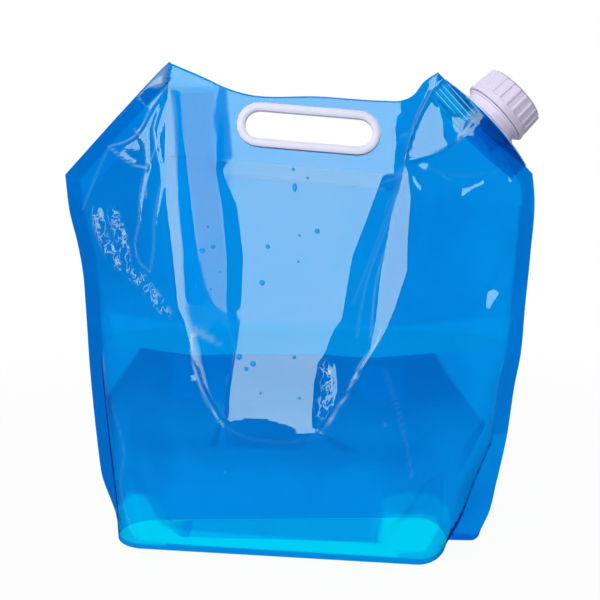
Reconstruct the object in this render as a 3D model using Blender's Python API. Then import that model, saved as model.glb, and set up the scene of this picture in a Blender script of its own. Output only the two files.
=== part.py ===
"""Collapsible water carrier: two film panels and a bottom gusset, a handle clamped in a sealed web,
and a screw-capped spout welded into one shoulder. It stands part filled, so the belly is round and the
film above it has sunk in. Metres, +Z up, the front faces -Y, and the origin is on the floor under it."""

import math

import bmesh
import bpy
import numpy as np
from mathutils import Matrix, Vector

MM = 0.001
SHARP_ANGLE = math.radians(35)

# Pouch
BAG_HALF_WIDTH = 155 * MM
BAG_HEIGHT = 320 * MM
BELLY_DEPTH = 57 * MM  # from the seal plane to the front of the belly
FILM_THICKNESS = 0.5 * MM
FILM_GAP = 0.3 * MM  # between films that touch
SEAL_WIDTH = 9 * MM
FOOT_FIN_WIDTH = 15 * MM  # how much wider the seal is at the right foot
FOOT_FIN_HEIGHT = 75 * MM
FOOT_LIFT = 0.5 * MM  # of the panels' lower edges over the floor
PROBE = 0.1 * MM  # a small step, for measuring slopes

# Outline of the standing pouch, from the foot up: shares of the half width and of the height
LEFT_SIDE_SHARES = (
    (-0.865, 0.0),
    (-0.871, 0.079),
    (-0.890, 0.157),
    (-0.905, 0.233),
    (-0.925, 0.363),
    (-0.937, 0.492),
    (-0.946, 0.566),
    (-0.967, 0.629),
    (-0.997, 0.692),
    (-1.013, 0.770),
)
RIGHT_SIDE_SHARES = (
    (0.783, 0.0),
    (0.812, 0.040),
    (0.847, 0.134),
    (0.882, 0.221),
    (0.915, 0.345),
    (0.934, 0.398),
    (0.950, 0.506),
    (0.966, 0.608),
    (0.979, 0.735),
    (0.970, 0.776),
)
TOP_EDGE_SHARES = (
    (-0.577, 0.999),
    (-0.409, 0.965),
    (-0.337, 0.949),
    (-0.261, 0.937),
    (0.075, 0.930),
    (0.348, 0.922),
    (0.410, 0.922),
    (0.461, 0.932),
    (0.514, 0.963),
    (0.567, 0.981),
)
CORNER_ROW_SHARE = 0.72  # where the shoulder's slope starts, among the rows of the film
BACK_COLUMNS = 30
SIDE_ROWS = 18
SHOULDER_ROWS = 11

# Depth of the belly at each height: shares of the height and of the belly's depth
FRONT_DEPTH_SHARES = (
    (0.0, 0.76),
    (0.08, 0.93),
    (0.2, 1.0),
    (0.33, 0.98),
    (0.44, 0.90),
    (0.56, 0.73),
    (0.67, 0.53),
    (0.77, 0.36),
    (0.86, 0.25),
    (1.0, 0.14),
)
BACK_DEPTH_SHARES = (
    (0.0, 0.70),
    (0.08, 0.82),
    (0.2, 0.88),
    (0.33, 0.88),
    (0.44, 0.83),
    (0.56, 0.66),
    (0.67, 0.46),
    (0.77, 0.30),
    (0.86, 0.20),
    (1.0, 0.10),
)
FOOT_SKEW_SHARE = 0.38  # how much deeper the foot is at the right than in the middle
BELLY_SKEW_SHARE = 0.06
FOOT_ROUNDING = 20 * MM  # how far in from the seal the film turns, at the foot
FRONT_SIDE_ROUNDING = 100 * MM  # and at the belly
BACK_SIDE_ROUNDING = 62 * MM
ROUNDING_RISE_SHARE = 0.36  # of the height, over which one becomes the other

# Creases of the front film, which has sunk in below the handle: shares of the height and half width
LEFT_RIDGE_SHARES = (
    (0.24, -0.36),
    (0.298, -0.310),
    (0.359, -0.382),
    (0.420, -0.429),
    (0.492, -0.473),
    (0.604, -0.488),
    (0.706, -0.511),
    (0.817, -0.556),
    (0.885, -0.573),
    (0.945, -0.593),
)
LEFT_STRIP_SHARES = (
    (0.24, -0.33),
    (0.298, -0.304),
    (0.359, -0.371),
    (0.432, -0.417),
    (0.492, -0.448),
    (0.604, -0.456),
    (0.706, -0.478),
    (0.817, -0.519),
    (0.945, -0.550),
)
WEDGE_LEFT_SHARES = (
    (0.24, -0.31),
    (0.303, -0.301),
    (0.369, -0.287),
    (0.432, -0.268),
    (0.507, -0.316),
    (0.530, -0.388),
    (0.608, -0.417),
    (0.704, -0.452),
    (0.847, -0.506),
    (0.935, -0.530),
)
WEDGE_RIGHT_SHARES = (
    (0.24, -0.30),
    (0.303, -0.299),
    (0.369, -0.283),
    (0.432, -0.261),
    (0.508, -0.297),
    (0.601, -0.303),
    (0.744, -0.344),
    (0.884, -0.383),
    (0.94, -0.39),
)
PANE_LEFT_SHARES = (
    (0.24, -0.29),
    (0.306, -0.298),
    (0.369, -0.276),
    (0.432, -0.254),
    (0.488, -0.236),
    (0.616, -0.236),
    (0.710, -0.268),
    (0.770, -0.335),
    (0.80, -0.342),
    (0.94, -0.342),
)
PANE_RIGHT_SHARES = (
    (0.24, 0.03),
    (0.281, 0.068),
    (0.373, 0.074),
    (0.415, 0.101),
    (0.472, 0.149),
    (0.492, 0.182),
    (0.615, 0.223),
    (0.703, 0.294),
    (0.762, 0.339),
    (0.80, 0.39),
    (0.94, 0.40),
)
RIGHT_RIDGE_SHARES = (
    (0.24, 0.18),
    (0.278, 0.094),
    (0.328, 0.151),
    (0.383, 0.232),
    (0.433, 0.301),
    (0.498, 0.324),
    (0.582, 0.338),
    (0.694, 0.380),
    (0.794, 0.435),
    (0.834, 0.450),
    (0.887, 0.486),
    (0.972, 0.542),
)
RIGHT_STRIP_SHARES = (
    (0.24, 0.26),
    (0.278, 0.100),
    (0.328, 0.158),
    (0.383, 0.242),
    (0.433, 0.310),
    (0.474, 0.362),
    (0.517, 0.401),
    (0.592, 0.453),
    (0.654, 0.451),
    (0.732, 0.461),
    (0.786, 0.444),
    (0.80, 0.452),
    (0.834, 0.608),
    (0.862, 0.582),
    (0.915, 0.564),
    (0.972, 0.552),
)
CREASE_LINES = (
    LEFT_RIDGE_SHARES,
    LEFT_STRIP_SHARES,
    WEDGE_LEFT_SHARES,
    WEDGE_RIGHT_SHARES,
    PANE_LEFT_SHARES,
    PANE_RIGHT_SHARES,
    RIGHT_RIDGE_SHARES,
    RIGHT_STRIP_SHARES,
)
SECTION_COLUMNS = (1, 9, 1, 1, 2, 2, 8, 3, 2, 9, 1)  # between the creases, from the left edge
COLUMN_GAP = 1 * MM  # the least between two creases
FINE_STEPS = 200  # along a row, to find where the creases cross it
CREASE_PASSES = 6  # until that place has settled

# How far in front of the seals the ridges stand: shares of the height and of the belly's depth
LEFT_RIDGE_DEPTH_SHARES = (
    (0.25, 1.0),
    (0.298, 0.98),
    (0.359, 0.93),
    (0.420, 0.86),
    (0.492, 0.73),
    (0.604, 0.52),
    (0.706, 0.31),
    (0.775, 0.17),
    (0.945, 0.02),
    (0.975, 0.0),
)
RIGHT_RIDGE_DEPTH_SHARES = (
    (0.25, 1.0),
    (0.278, 0.99),
    (0.328, 0.975),
    (0.383, 0.93),
    (0.433, 0.85),
    (0.498, 0.745),
    (0.582, 0.60),
    (0.694, 0.37),
    (0.775, 0.20),
    (0.887, 0.09),
    (0.975, 0.005),
)
# How much of the drop from the left ridge to the middle each facet takes for its width
STEEP_SHARE = 1.0
GENTLE_SHARE = 0.10
EDGE_TURN = 6 * MM  # from the top seal to the full depth of the facets
ROUND_SHARE = 0.37  # of the height: below it the film is arched outside the ridges
STRAIGHT_SHARE = 0.45  # above it, it runs straight down to the seals
# The dent's lower lip, from left to right: shares of the half width and of the height
LIP_SHARES = (
    (-0.36, 0.300),
    (-0.306, 0.302),
    (-0.272, 0.288),
    (-0.205, 0.296),
    (-0.109, 0.294),
    (-0.030, 0.285),
    (0.048, 0.271),
    (0.094, 0.278),
    (0.16, 0.280),
)
# Of the height, where the belly ends and where only the roof is left beside the dent
SHOULDER_START_SHARE = 0.27
SHOULDER_END_SHARE = 0.37

# Handle web: the panels sealed flat together over a seal line, with the hand slot through both
WEB_TILT = math.radians(-4.5)
WEB_LEFT = -53 * MM
WEB_RIGHT = 61 * MM
WEB_SEAL = 4 * MM  # how far below the line the sunken film still lies flat
WEB_LEAN = math.radians(14)  # back from upright
WEB_ROUNDING = 8 * MM  # height over which the lean starts

# Handle frames, an oblong ring on each face of the web
HANDLE_CENTRE_X = 4 * MM
HANDLE_BELOW_EDGE = 21.15 * MM
HANDLE_ABOVE_SEAL = 25.1 * MM
SLOT_LENGTH = 84 * MM
SLOT_HEIGHT = 18.6 * MM
FRAME_WIDTH = 5.2 * MM
FRAME_PROUD = 2.9 * MM
COLLAR_THICKNESS = 1.4 * MM
COLLAR_GAP = 0.3 * MM
SLOT_STEPS = 10  # faces in each round end
FRAME_DOME_HEIGHT = 0.9 * MM
FRAME_DOME_START_SHARE = 0.12
FRAME_DOME_STEPS = 4

# Spout, on the right shoulder's slope; heights along its axis are from the film's edge outwards
SPOUT_LEAN = math.radians(13)
SPOUT_LEAN_START = 14 * MM  # how far inside the edge the film starts to lean
SPOUT_LEAN_REACH = 48 * MM
BOAT_HALF_LENGTH = 38.5 * MM
BOAT_HEIGHT = 12 * MM
BOAT_TOP = 1.0 * MM
BOAT_RIB_HEIGHT = 1.3 * MM
BOAT_RIB_DEPTH = 0.7 * MM
BOAT_RIBS = 4
BOAT_CLEARANCE = 0.7 * MM
BOAT_TENT_REACH = 50 * MM  # how far past the boat the film is still spread
NECK_BORE_RADIUS = 16.8 * MM
NECK_WALL = 2.4 * MM
NECK_STEP = 0.8 * MM  # how much wider the neck is below its thread
NECK_SHOULDER_THICKNESS = 1.8 * MM
SUPPORT_RING_PROUD = 1.6 * MM
SUPPORT_RING_HEIGHT = 1.4 * MM
LIP_CHAMFER = 0.6 * MM
THREAD_PITCH = 4 * MM
THREAD_DEPTH = 1.3 * MM
THREAD_ROOT_THICKNESS = 1.8 * MM
THREAD_CREST_THICKNESS = 0.9 * MM
THREAD_ROOT_SINK = 0.4 * MM
THREAD_GAP = 0.5 * MM
THREAD_START_RISE = 3.6 * MM  # from the cap's lower edge to the neck's thread
NECK_THREAD_TURNS = 2.0
CAP_THREAD_TURNS = 1.5
THREAD_STEPS = 40  # to a turn
THREAD_FADE_SHARE = 0.1  # of a turn
SPOUT_STEPS = 48

# Cap
CAP_BOTTOM = 8.8 * MM
CAP_HEIGHT = 19.4 * MM
CAP_WALL = 1.3 * MM
CAP_TOP_THICKNESS = 1.6 * MM
CAP_RIB_HEIGHT = 0.7 * MM
CAP_RIM_PROUD = 1.2 * MM
CAP_RIM_HEIGHT = 1.8 * MM
CAP_SKIRT_HEIGHT = 5.2 * MM
CAP_TOP_TAPER = 0.9 * MM
CAP_TOP_CHAMFER = 1.4 * MM
CAP_RIBS = 22
CAP_RIB_SHARES = (0.0, 0.14, 0.34, 0.48)  # of the pitch, where a rib's foot and top start and end
CAP_SEAT_GAP = 0.3 * MM
EDGE_EASE = 0.2 * MM
LINER_THICKNESS = 1.3 * MM
LINER_GAP = 0.3 * MM

# Gusset
GUSSET_END_RISE = 46 * MM
GUSSET_RISE_START_SHARE = 0.60  # of the way from the middle to each end
GUSSET_END_INSET = 2 * MM  # from the side seals
GUSSET_COLUMNS = 26
GUSSET_ROWS = 12
GUSSET_CLEARANCE = 1.2 * MM
GUSSET_FLAT_SHARE = 0.86

WEB_HALF_THICKNESS = FILM_THICKNESS + FILM_GAP / 2
FRAME_SEAT = WEB_HALF_THICKNESS + FILM_GAP
FRAME_FACE = FRAME_SEAT + FRAME_PROUD
HOLE_OFFSET = COLLAR_THICKNESS + COLLAR_GAP
THREAD_ROOT_RADIUS = NECK_BORE_RADIUS + NECK_WALL
BOAT_HALF_THICKNESS = NECK_BORE_RADIUS + NECK_WALL
NECK_RADIUS = THREAD_ROOT_RADIUS + NECK_STEP
SUPPORT_RING_RADIUS = NECK_RADIUS + SUPPORT_RING_PROUD
NECK_THREAD_START = CAP_BOTTOM + THREAD_START_RISE
CAP_TOP = CAP_BOTTOM + CAP_HEIGHT
CAP_INNER_RADIUS = THREAD_ROOT_RADIUS + THREAD_DEPTH + THREAD_GAP
CAP_OUTER_RADIUS = CAP_INNER_RADIUS + CAP_WALL
CAP_RIM_RADIUS = CAP_OUTER_RADIUS + CAP_RIM_PROUD
LINER_TOP = CAP_TOP - CAP_TOP_THICKNESS - LINER_GAP
LIP_HEIGHT = LINER_TOP - LINER_THICKNESS - LINER_GAP

FILM_BLUE = (0.0, 0.21, 0.66, 0.55)
HANDLE_WHITE = (0.86, 0.82, 0.86, 1.0)
SPOUT_WHITE = (0.80, 0.76, 0.84, 1.0)
LINER_WHITE = (0.92, 0.92, 0.92, 1.0)


def clear_scene():
    for obj in list(bpy.data.objects):
        bpy.data.objects.remove(obj)


def material(name, colour, roughness):
    made = bpy.data.materials.new(name)
    made.use_nodes = True
    shader = made.node_tree.nodes["Principled BSDF"]
    shader.inputs["Base Color"].default_value = (*colour[:3], 1.0)
    shader.inputs["Alpha"].default_value = colour[3]
    shader.inputs["Roughness"].default_value = roughness
    shader.inputs["Metallic"].default_value = 0.0
    return made


def scaled(shares):
    """A table of shares of the half width and height, as places."""
    return np.array([(x * BAG_HALF_WIDTH, z * BAG_HEIGHT) for x, z in shares])


def curve_through(points, at):
    """Points of a smooth curve through the given ones, at shares of its length."""
    lengths = np.concatenate([[0], np.cumsum(np.linalg.norm(np.diff(points, axis=0), axis=1))])
    lengths = lengths / lengths[-1]
    slopes = np.gradient(points, lengths, axis=0)
    at = np.clip(np.asarray(at, float), 0, 1)
    i = np.clip(np.searchsorted(lengths, at, side="right") - 1, 0, len(points) - 2)
    span = lengths[i + 1] - lengths[i]
    t = ((at - lengths[i]) / span)[..., None]
    span = span[..., None]
    start = (1 + 2 * t) * (1 - t) ** 2 * points[i] + t * (1 - t) ** 2 * span * slopes[i]
    end = t**2 * (3 - 2 * t) * points[i + 1] + t**2 * (t - 1) * span * slopes[i + 1]
    return start + end


def side_edge(side_shares, peak, rows):
    """The side of the outline at the given rows: a curve up to the corner, then a straight shoulder."""
    side = scaled(side_shares)
    rows = np.asarray(rows, float)
    low = curve_through(side, rows / CORNER_ROW_SHARE)
    t = np.clip((rows - CORNER_ROW_SHARE) / (1 - CORNER_ROW_SHARE), 0, 1)[..., None]
    high = side[-1] * (1 - t) + peak * t
    return np.where(rows[..., None] < CORNER_ROW_SHARE, low, high)


TOP_EDGE = scaled(TOP_EDGE_SHARES)
LEFT_PEAK, RIGHT_PEAK = TOP_EDGE[0], TOP_EDGE[-1]
LEFT_CORNER, RIGHT_CORNER = scaled(LEFT_SIDE_SHARES)[-1], scaled(RIGHT_SIDE_SHARES)[-1]


def outline_point(across, up):
    """A place in the outline, for shares across from the left and up from the foot."""
    left = side_edge(LEFT_SIDE_SHARES, LEFT_PEAK, up)
    right = side_edge(RIGHT_SIDE_SHARES, RIGHT_PEAK, up)
    across = np.asarray(across, float)[..., None]
    row = left * (1 - across) + right * across
    straight = LEFT_PEAK * (1 - across) + RIGHT_PEAK * across
    dip = curve_through(TOP_EDGE, across[..., 0]) - straight
    return row + np.asarray(up, float)[..., None] * dip


def top_height(x):
    return np.interp(x, TOP_EDGE[:, 0], TOP_EDGE[:, 1])


HANDLE_HEIGHT = float(top_height(HANDLE_CENTRE_X)) - HANDLE_BELOW_EDGE
OUTLINE_ROWS = np.linspace(0, 1, SIDE_ROWS + SHOULDER_ROWS)


def web_foot(x):
    """Height of the seal line under the handle."""
    return HANDLE_HEIGHT - HANDLE_ABOVE_SEAL + (x - HANDLE_CENTRE_X) * math.tan(WEB_TILT)


def seal_path():
    """The line that the pouch's seals follow, from the left foot round the web to the right foot."""
    left = side_edge(LEFT_SIDE_SHARES, LEFT_PEAK, OUTLINE_ROWS)
    right = side_edge(RIGHT_SIDE_SHARES, RIGHT_PEAK, OUTLINE_ROWS)
    left_top = [p for p in TOP_EDGE if p[0] < WEB_LEFT]
    right_top = [p for p in TOP_EDGE if p[0] > WEB_RIGHT]
    web = [
        (WEB_LEFT, top_height(WEB_LEFT)),
        (WEB_LEFT, web_foot(WEB_LEFT)),
        (WEB_RIGHT, web_foot(WEB_RIGHT)),
        (WEB_RIGHT, top_height(WEB_RIGHT)),
    ]
    return np.array([*left, *left_top, *web, *right_top, *right[::-1]])


def distance_to_path(x, z, path):
    """Distance from places to a line through points."""
    best = np.full(np.shape(x), np.inf)
    for (x0, z0), (x1, z1) in zip(path[:-1], path[1:]):
        length = (x1 - x0) ** 2 + (z1 - z0) ** 2
        if length == 0:
            continue
        t = np.clip(((x - x0) * (x1 - x0) + (z - z0) * (z1 - z0)) / length, 0, 1)
        best = np.minimum(best, np.hypot(x - x0 - t * (x1 - x0), z - z0 - t * (z1 - z0)))
    return best


SEAL_PATH = seal_path()
OUTLINE_PATH = np.vstack(
    [
        side_edge(LEFT_SIDE_SHARES, LEFT_PEAK, OUTLINE_ROWS),
        TOP_EDGE[1:-1],
        side_edge(RIGHT_SIDE_SHARES, RIGHT_PEAK, OUTLINE_ROWS)[::-1],
    ]
)
SLOPE = (RIGHT_PEAK - RIGHT_CORNER) / np.linalg.norm(RIGHT_PEAK - RIGHT_CORNER)
OUTWARD = np.array([SLOPE[1], -SLOPE[0]])
SPOUT_FOOT = (RIGHT_PEAK + RIGHT_CORNER) / 2


def along_and_inside(x, z):
    """How far along the right shoulder from the spout, and how far inside its edge."""
    dx, dz = x - SPOUT_FOOT[0], z - SPOUT_FOOT[1]
    return dx * SLOPE[0] + dz * SLOPE[1], -(dx * OUTWARD[0] + dz * OUTWARD[1])


def eased(share):
    share = np.clip(share, 0, 1)
    return share * share * (3 - 2 * share)


def bent(reach, bend):
    """How far a sheet has moved out, this far past the start of a bend of this length, for a slope of 1."""
    reach = np.clip(reach, 0, None)
    return np.where(reach > bend, reach - bend / 2, reach**2 / (2 * bend))


def seal_plane(x, z):
    """Where the seals lie from front to back: the handle web and the right shoulder lean back."""
    _, inside = along_and_inside(x, z)
    shoulder = math.tan(SPOUT_LEAN) * bent(SPOUT_LEAN_REACH - inside, SPOUT_LEAN_REACH - SPOUT_LEAN_START)
    web = math.tan(WEB_LEAN) * bent(z - web_foot(x) + WEB_SEAL, WEB_ROUNDING)
    past_corner = np.clip((x - LEFT_CORNER[0]) / (LEFT_PEAK[0] - LEFT_CORNER[0]), 0, 1)
    web = web * past_corner * past_corner
    fade = eased((x - WEB_RIGHT) / (RIGHT_PEAK[0] - WEB_RIGHT))
    return web * (1 - fade) + shoulder * fade


def seal_normal(x, z):
    """The direction square to the seals, towards the front."""
    across = (seal_plane(x + PROBE, z) - seal_plane(x - PROBE, z)) / (2 * PROBE)
    up = (seal_plane(x, z + PROBE) - seal_plane(x, z - PROBE)) / (2 * PROBE)
    normal = np.stack([across, -np.ones_like(across), up], axis=-1)
    return normal / np.linalg.norm(normal, axis=-1, keepdims=True)


def seal_distance(x, z):
    """How far inside the seals a place lies; negative on a seal."""
    fin = FOOT_FIN_WIDTH * np.clip(1 - z / FOOT_FIN_HEIGHT, 0, 1) * (x > 0)
    return distance_to_path(x, z, SEAL_PATH) - SEAL_WIDTH - fin


def in_web(x, z):
    return (x > WEB_LEFT) & (x < WEB_RIGHT) & (z > web_foot(x))


def pillow_depth(x, z, depth_shares, side_rounding):
    """Depth of the round pouch with no dent."""
    high = z / BAG_HEIGHT
    table = np.array(depth_shares)
    depth = BELLY_DEPTH * np.interp(high, table[:, 0], table[:, 1])
    rise = eased(high / ROUNDING_RISE_SHARE)
    skew = FOOT_SKEW_SHARE + (BELLY_SKEW_SHARE - FOOT_SKEW_SHARE) * rise
    depth = depth * (1 + skew * x / BAG_HALF_WIDTH)
    rounding = FOOT_ROUNDING + (side_rounding - FOOT_ROUNDING) * rise
    edge = np.clip(np.where(in_web(x, z), 0, seal_distance(x, z)) / rounding, 0, 1)
    return depth * np.sqrt(1 - (1 - edge) ** 2)


def line_at(shares, z, unit):
    """A crease's place, or a ridge's depth, at the given heights."""
    table = np.array(shares)
    return unit * np.interp(z / BAG_HEIGHT, table[:, 0], table[:, 1])


def lip_height(x):
    """Height of the dent's lower lip."""
    table = np.array(LIP_SHARES)
    return BAG_HEIGHT * np.interp(x / BAG_HALF_WIDTH, table[:, 0], table[:, 1])


def facet_depth(x, z):
    """Depth of the sunken front film: flat facets between the crease lines, and a roof down to each side."""
    lines = [line_at(shares, z, BAG_HALF_WIDTH) for shares in CREASE_LINES]
    left_ridge = line_at(LEFT_RIDGE_DEPTH_SHARES, z, BELLY_DEPTH)
    right_ridge = line_at(RIGHT_RIDGE_DEPTH_SHARES, z, BELLY_DEPTH)
    lip = lip_height(x)
    top = web_foot(x) - WEB_SEAL
    pane = line_at(FRONT_DEPTH_SHARES, lip, BELLY_DEPTH) * np.clip((top - z) / (top - lip), 0, 1)
    left_drops = (GENTLE_SHARE, STEEP_SHARE, GENTLE_SHARE, STEEP_SHARE)
    left_widths = [w * np.clip(b - a, 0, None) for w, a, b in zip(left_drops, lines, lines[1:])]
    total = sum(left_widths)
    depths = [left_ridge]
    for width in left_widths:
        depths.append(depths[-1] + (pane - left_ridge) * width / total)
    depths += [pane, right_ridge, right_ridge]
    result = np.where(x < lines[0], left_ridge, right_ridge)
    for a, b, da, db in zip(lines, lines[1:], depths, depths[1:]):
        t = np.clip((x - a) / np.maximum(b - a, PROBE), 0, 1)
        result = np.where((x >= a) & (x <= b), da + (db - da) * t, result)
    edge = np.clip(distance_to_path(x, z, OUTLINE_PATH) - SEAL_WIDTH, 0, None)
    past = np.maximum(lines[0] - x, x - lines[-1])
    ruled = edge / np.maximum(edge + past, PROBE)
    straight = eased((z / BAG_HEIGHT - ROUND_SHARE) / (STRAIGHT_SHARE - ROUND_SHARE))
    ruled = straight * ruled + (1 - straight) * np.sqrt(np.clip(1 - (1 - ruled) ** 2, 0, 1))
    return result * np.where(past > 0, ruled, np.clip(edge / EDGE_TURN, 0, 1))


def front_depth(x, z):
    """Depth of the front film's inner face: the round belly below, and facets above the dent's lip."""
    pillow = pillow_depth(x, z, FRONT_DEPTH_SHARES, FRONT_SIDE_ROUNDING)
    facets = facet_depth(x, z)
    left = line_at(LEFT_RIDGE_SHARES, z, BAG_HALF_WIDTH)
    right = line_at(RIGHT_STRIP_SHARES, z, BAG_HALF_WIDTH)
    in_dent = (x > left) & (x < right) & (z > lip_height(x))
    high = z / BAG_HEIGHT
    shoulder = eased((high - SHOULDER_START_SHARE) / (SHOULDER_END_SHARE - SHOULDER_START_SHARE))
    share = np.where(in_dent, 1.0, shoulder)
    facets = np.where(in_web(x, z), 0, facets)
    return pillow * (1 - share) + facets * share


def boat_depth(x, z):
    """Depth of the film where it is stretched over the spout's welded foot."""
    along, inside = along_and_inside(x, z)
    lens = BOAT_HALF_THICKNESS * (1 - (along / BOAT_HALF_LENGTH) ** 2)
    past = np.clip((inside - BOAT_HEIGHT) / BOAT_TENT_REACH, 0, 1)
    return (np.clip(lens, 0, None) + BOAT_CLEARANCE * (lens > 0)) * (1 - eased(past))


def panel_depth(x, z, front):
    """Depth of a panel's inner face from the seal plane."""
    pouch = front_depth(x, z) if front else pillow_depth(x, z, BACK_DEPTH_SHARES, BACK_SIDE_ROUNDING)
    return FILM_GAP / 2 + np.maximum(pouch, boat_depth(x, z))


def grid_object(name, points, finish):
    """A sheet through a grid of points, thickened towards its outer face."""
    rows, columns = points.shape[:2]
    corners = [tuple(p) for p in points.reshape(-1, 3)]
    faces = [
        (r * columns + c, r * columns + c + 1, (r + 1) * columns + c + 1, (r + 1) * columns + c)
        for r in range(rows - 1)
        for c in range(columns - 1)
    ]
    mesh = bpy.data.meshes.new(name)
    mesh.from_pydata(corners, [], faces)
    mesh.materials.append(finish)
    mesh.shade_smooth()
    obj = bpy.data.objects.new(name, mesh)
    bpy.context.scene.collection.objects.link(obj)
    return obj


def thicken(obj, side=1.0):
    """Thickens a sheet along its normals (side 1) or against them (side -1)."""
    solid = obj.modifiers.new("thickness", "SOLIDIFY")
    solid.thickness = FILM_THICKNESS
    solid.offset = side
    solid.use_even_offset = False
    return obj


def cut(obj, cutter, operation="DIFFERENCE"):
    """Cuts or joins with another solid, which is then only a guide."""
    boolean = obj.modifiers.new(cutter.name, "BOOLEAN")
    boolean.operation = operation
    boolean.solver = "EXACT"
    boolean.object = cutter
    cutter.hide_render = True
    cutter.display_type = "WIRE"


def prism(name, outline, low, high):
    """A solid with this outline in X and Z, between two places in Y."""
    bm = bmesh.new()
    near = [bm.verts.new((x, low, z)) for x, z in outline]
    face = bm.faces.new(near)
    moved = bmesh.ops.extrude_face_region(bm, geom=[face])
    far = [v for v in moved["geom"] if isinstance(v, bmesh.types.BMVert)]
    bmesh.ops.translate(bm, vec=(0, high - low, 0), verts=far)
    bmesh.ops.recalc_face_normals(bm, faces=bm.faces)
    mesh = bpy.data.meshes.new(name)
    bm.to_mesh(mesh)
    bm.free()
    obj = bpy.data.objects.new(name, mesh)
    bpy.context.scene.collection.objects.link(obj)
    return obj


def loop_solid(name, loops, finish, matrix=None, closed=True):
    """A solid skinned over equal loops. Closed joins the last to the first; otherwise both are filled."""
    bm = bmesh.new()
    rings = [[bm.verts.new(p) for p in loop] for loop in loops]
    pairs = list(zip(rings, rings[1:]))
    if closed:
        pairs.append((rings[-1], rings[0]))
    for one, other in pairs:
        for i in range(len(one)):
            j = (i + 1) % len(one)
            bm.faces.new((one[i], one[j], other[j], other[i]))
    if not closed:
        bm.faces.new(rings[0])
        bm.faces.new(rings[-1])
    bmesh.ops.recalc_face_normals(bm, faces=bm.faces)
    mesh = bpy.data.meshes.new(name)
    bm.to_mesh(mesh)
    bm.free()
    if finish:
        mesh.materials.append(finish)
    mesh.shade_smooth()
    mesh.set_sharp_from_angle(angle=SHARP_ANGLE)
    obj = bpy.data.objects.new(name, mesh)
    bpy.context.scene.collection.objects.link(obj)
    if matrix is not None:
        obj.matrix_world = matrix
    return obj


def crease_columns(row):
    """The front film's columns across one row: they follow its creases."""
    across = np.linspace(0, 1, FINE_STEPS)
    place = outline_point(across, np.full_like(across, row))
    line_x, line_z = place[:, 0], place[:, 1]
    stops = [line_x[0], line_x[0] + SEAL_WIDTH]
    for shares in CREASE_LINES:
        x = 0.0
        for _ in range(CREASE_PASSES):
            x = float(line_at(shares, np.interp(x, line_x, line_z), BAG_HALF_WIDTH))
        stops.append(x)
    stops += [line_x[-1] - SEAL_WIDTH, line_x[-1]]
    least = np.arange(len(stops)) * COLUMN_GAP
    stops = np.minimum(np.maximum.accumulate(stops - least) + least, line_x[-1] - least[-1] + least)
    parts = [np.linspace(a, b, n + 1)[:-1] for a, b, n in zip(stops, stops[1:], SECTION_COLUMNS)]
    x = np.concatenate([*parts, stops[-1:]])
    return np.stack([x, np.interp(x, line_x, line_z)], axis=-1)


def panel_points(front):
    """The grid of a panel's inner face."""
    side = np.linspace(0, CORNER_ROW_SHARE, SIDE_ROWS + 1)
    up = np.concatenate([side, np.linspace(CORNER_ROW_SHARE, 1, SHOULDER_ROWS + 1)[1:]])
    if front:
        place = np.array([crease_columns(row) for row in up])
    else:
        across = (1 - np.cos(np.linspace(0, math.pi, BACK_COLUMNS))) / 2
        across = (across + np.linspace(0, 1, BACK_COLUMNS)) / 2
        place = outline_point(*np.meshgrid(across, up))
    x, z = place[..., 0], np.maximum(place[..., 1], FOOT_LIFT)
    depth = panel_depth(x, z, front) * (1 if front else -1)
    return np.stack([x, seal_plane(x, z), z], axis=-1) + depth[..., None] * seal_normal(x, z)


def panel(name, front, finish):
    obj = thicken(grid_object(name, panel_points(front), finish))
    if not front:
        obj.data.flip_normals()
    hole = [(x, z) for x, _, z in slot_loop(HOLE_OFFSET, 0)]
    cutter = prism(name + "_hole", hole, -FRAME_FACE, FRAME_FACE)
    cutter.matrix_world = web_matrix()
    cut(obj, cutter)
    return obj


def web_matrix():
    """The handle's frame: X along the slot, Y back through the web, and its origin at the slot's middle."""
    along = Vector((math.cos(WEB_TILT), 0, math.sin(WEB_TILT)))
    back = -Vector(seal_normal(np.array(HANDLE_CENTRE_X), np.array(HANDLE_HEIGHT)))
    turned = Matrix((along, back, along.cross(back))).transposed().to_4x4()
    middle = (HANDLE_CENTRE_X, float(seal_plane(HANDLE_CENTRE_X, HANDLE_HEIGHT)), HANDLE_HEIGHT)
    return Matrix.Translation(middle) @ turned


def slot_loop(offset, y):
    """An oblong loop round the hand slot, this far outside its edge, in the handle's frame."""
    radius = SLOT_HEIGHT / 2 + offset
    half = SLOT_LENGTH / 2 - SLOT_HEIGHT / 2
    turns = np.linspace(-math.pi / 2, math.pi / 2, SLOT_STEPS + 1)
    right = [(half + radius * math.cos(t), y, radius * math.sin(t)) for t in turns]
    return right + [(-x, y, -z) for x, _, z in right]


def dome(inner, outer, steps):
    """Offsets and rises over the rounded face of a frame, from its inner to its outer edge."""
    for step in range(steps + 1):
        share = step / steps
        lift = math.sin(math.pi * (FRAME_DOME_START_SHARE + (1 - 2 * FRAME_DOME_START_SHARE) * share))
        yield inner + (outer - inner) * share, lift


def handle_front_frame(finish):
    """The front half: a rounded face, and a collar that passes through the web."""
    face = [
        slot_loop(offset, -(FRAME_FACE - FRAME_DOME_HEIGHT + FRAME_DOME_HEIGHT * lift))
        for offset, lift in dome(0, FRAME_WIDTH, FRAME_DOME_STEPS)
    ]
    collar_end = FRAME_FACE - FRAME_DOME_HEIGHT
    body = [
        slot_loop(FRAME_WIDTH, -FRAME_SEAT),
        slot_loop(COLLAR_THICKNESS, -FRAME_SEAT),
        slot_loop(COLLAR_THICKNESS, collar_end),
        slot_loop(0, collar_end),
    ]
    return loop_solid("handle_front_frame", face + body, finish, web_matrix())


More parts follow.
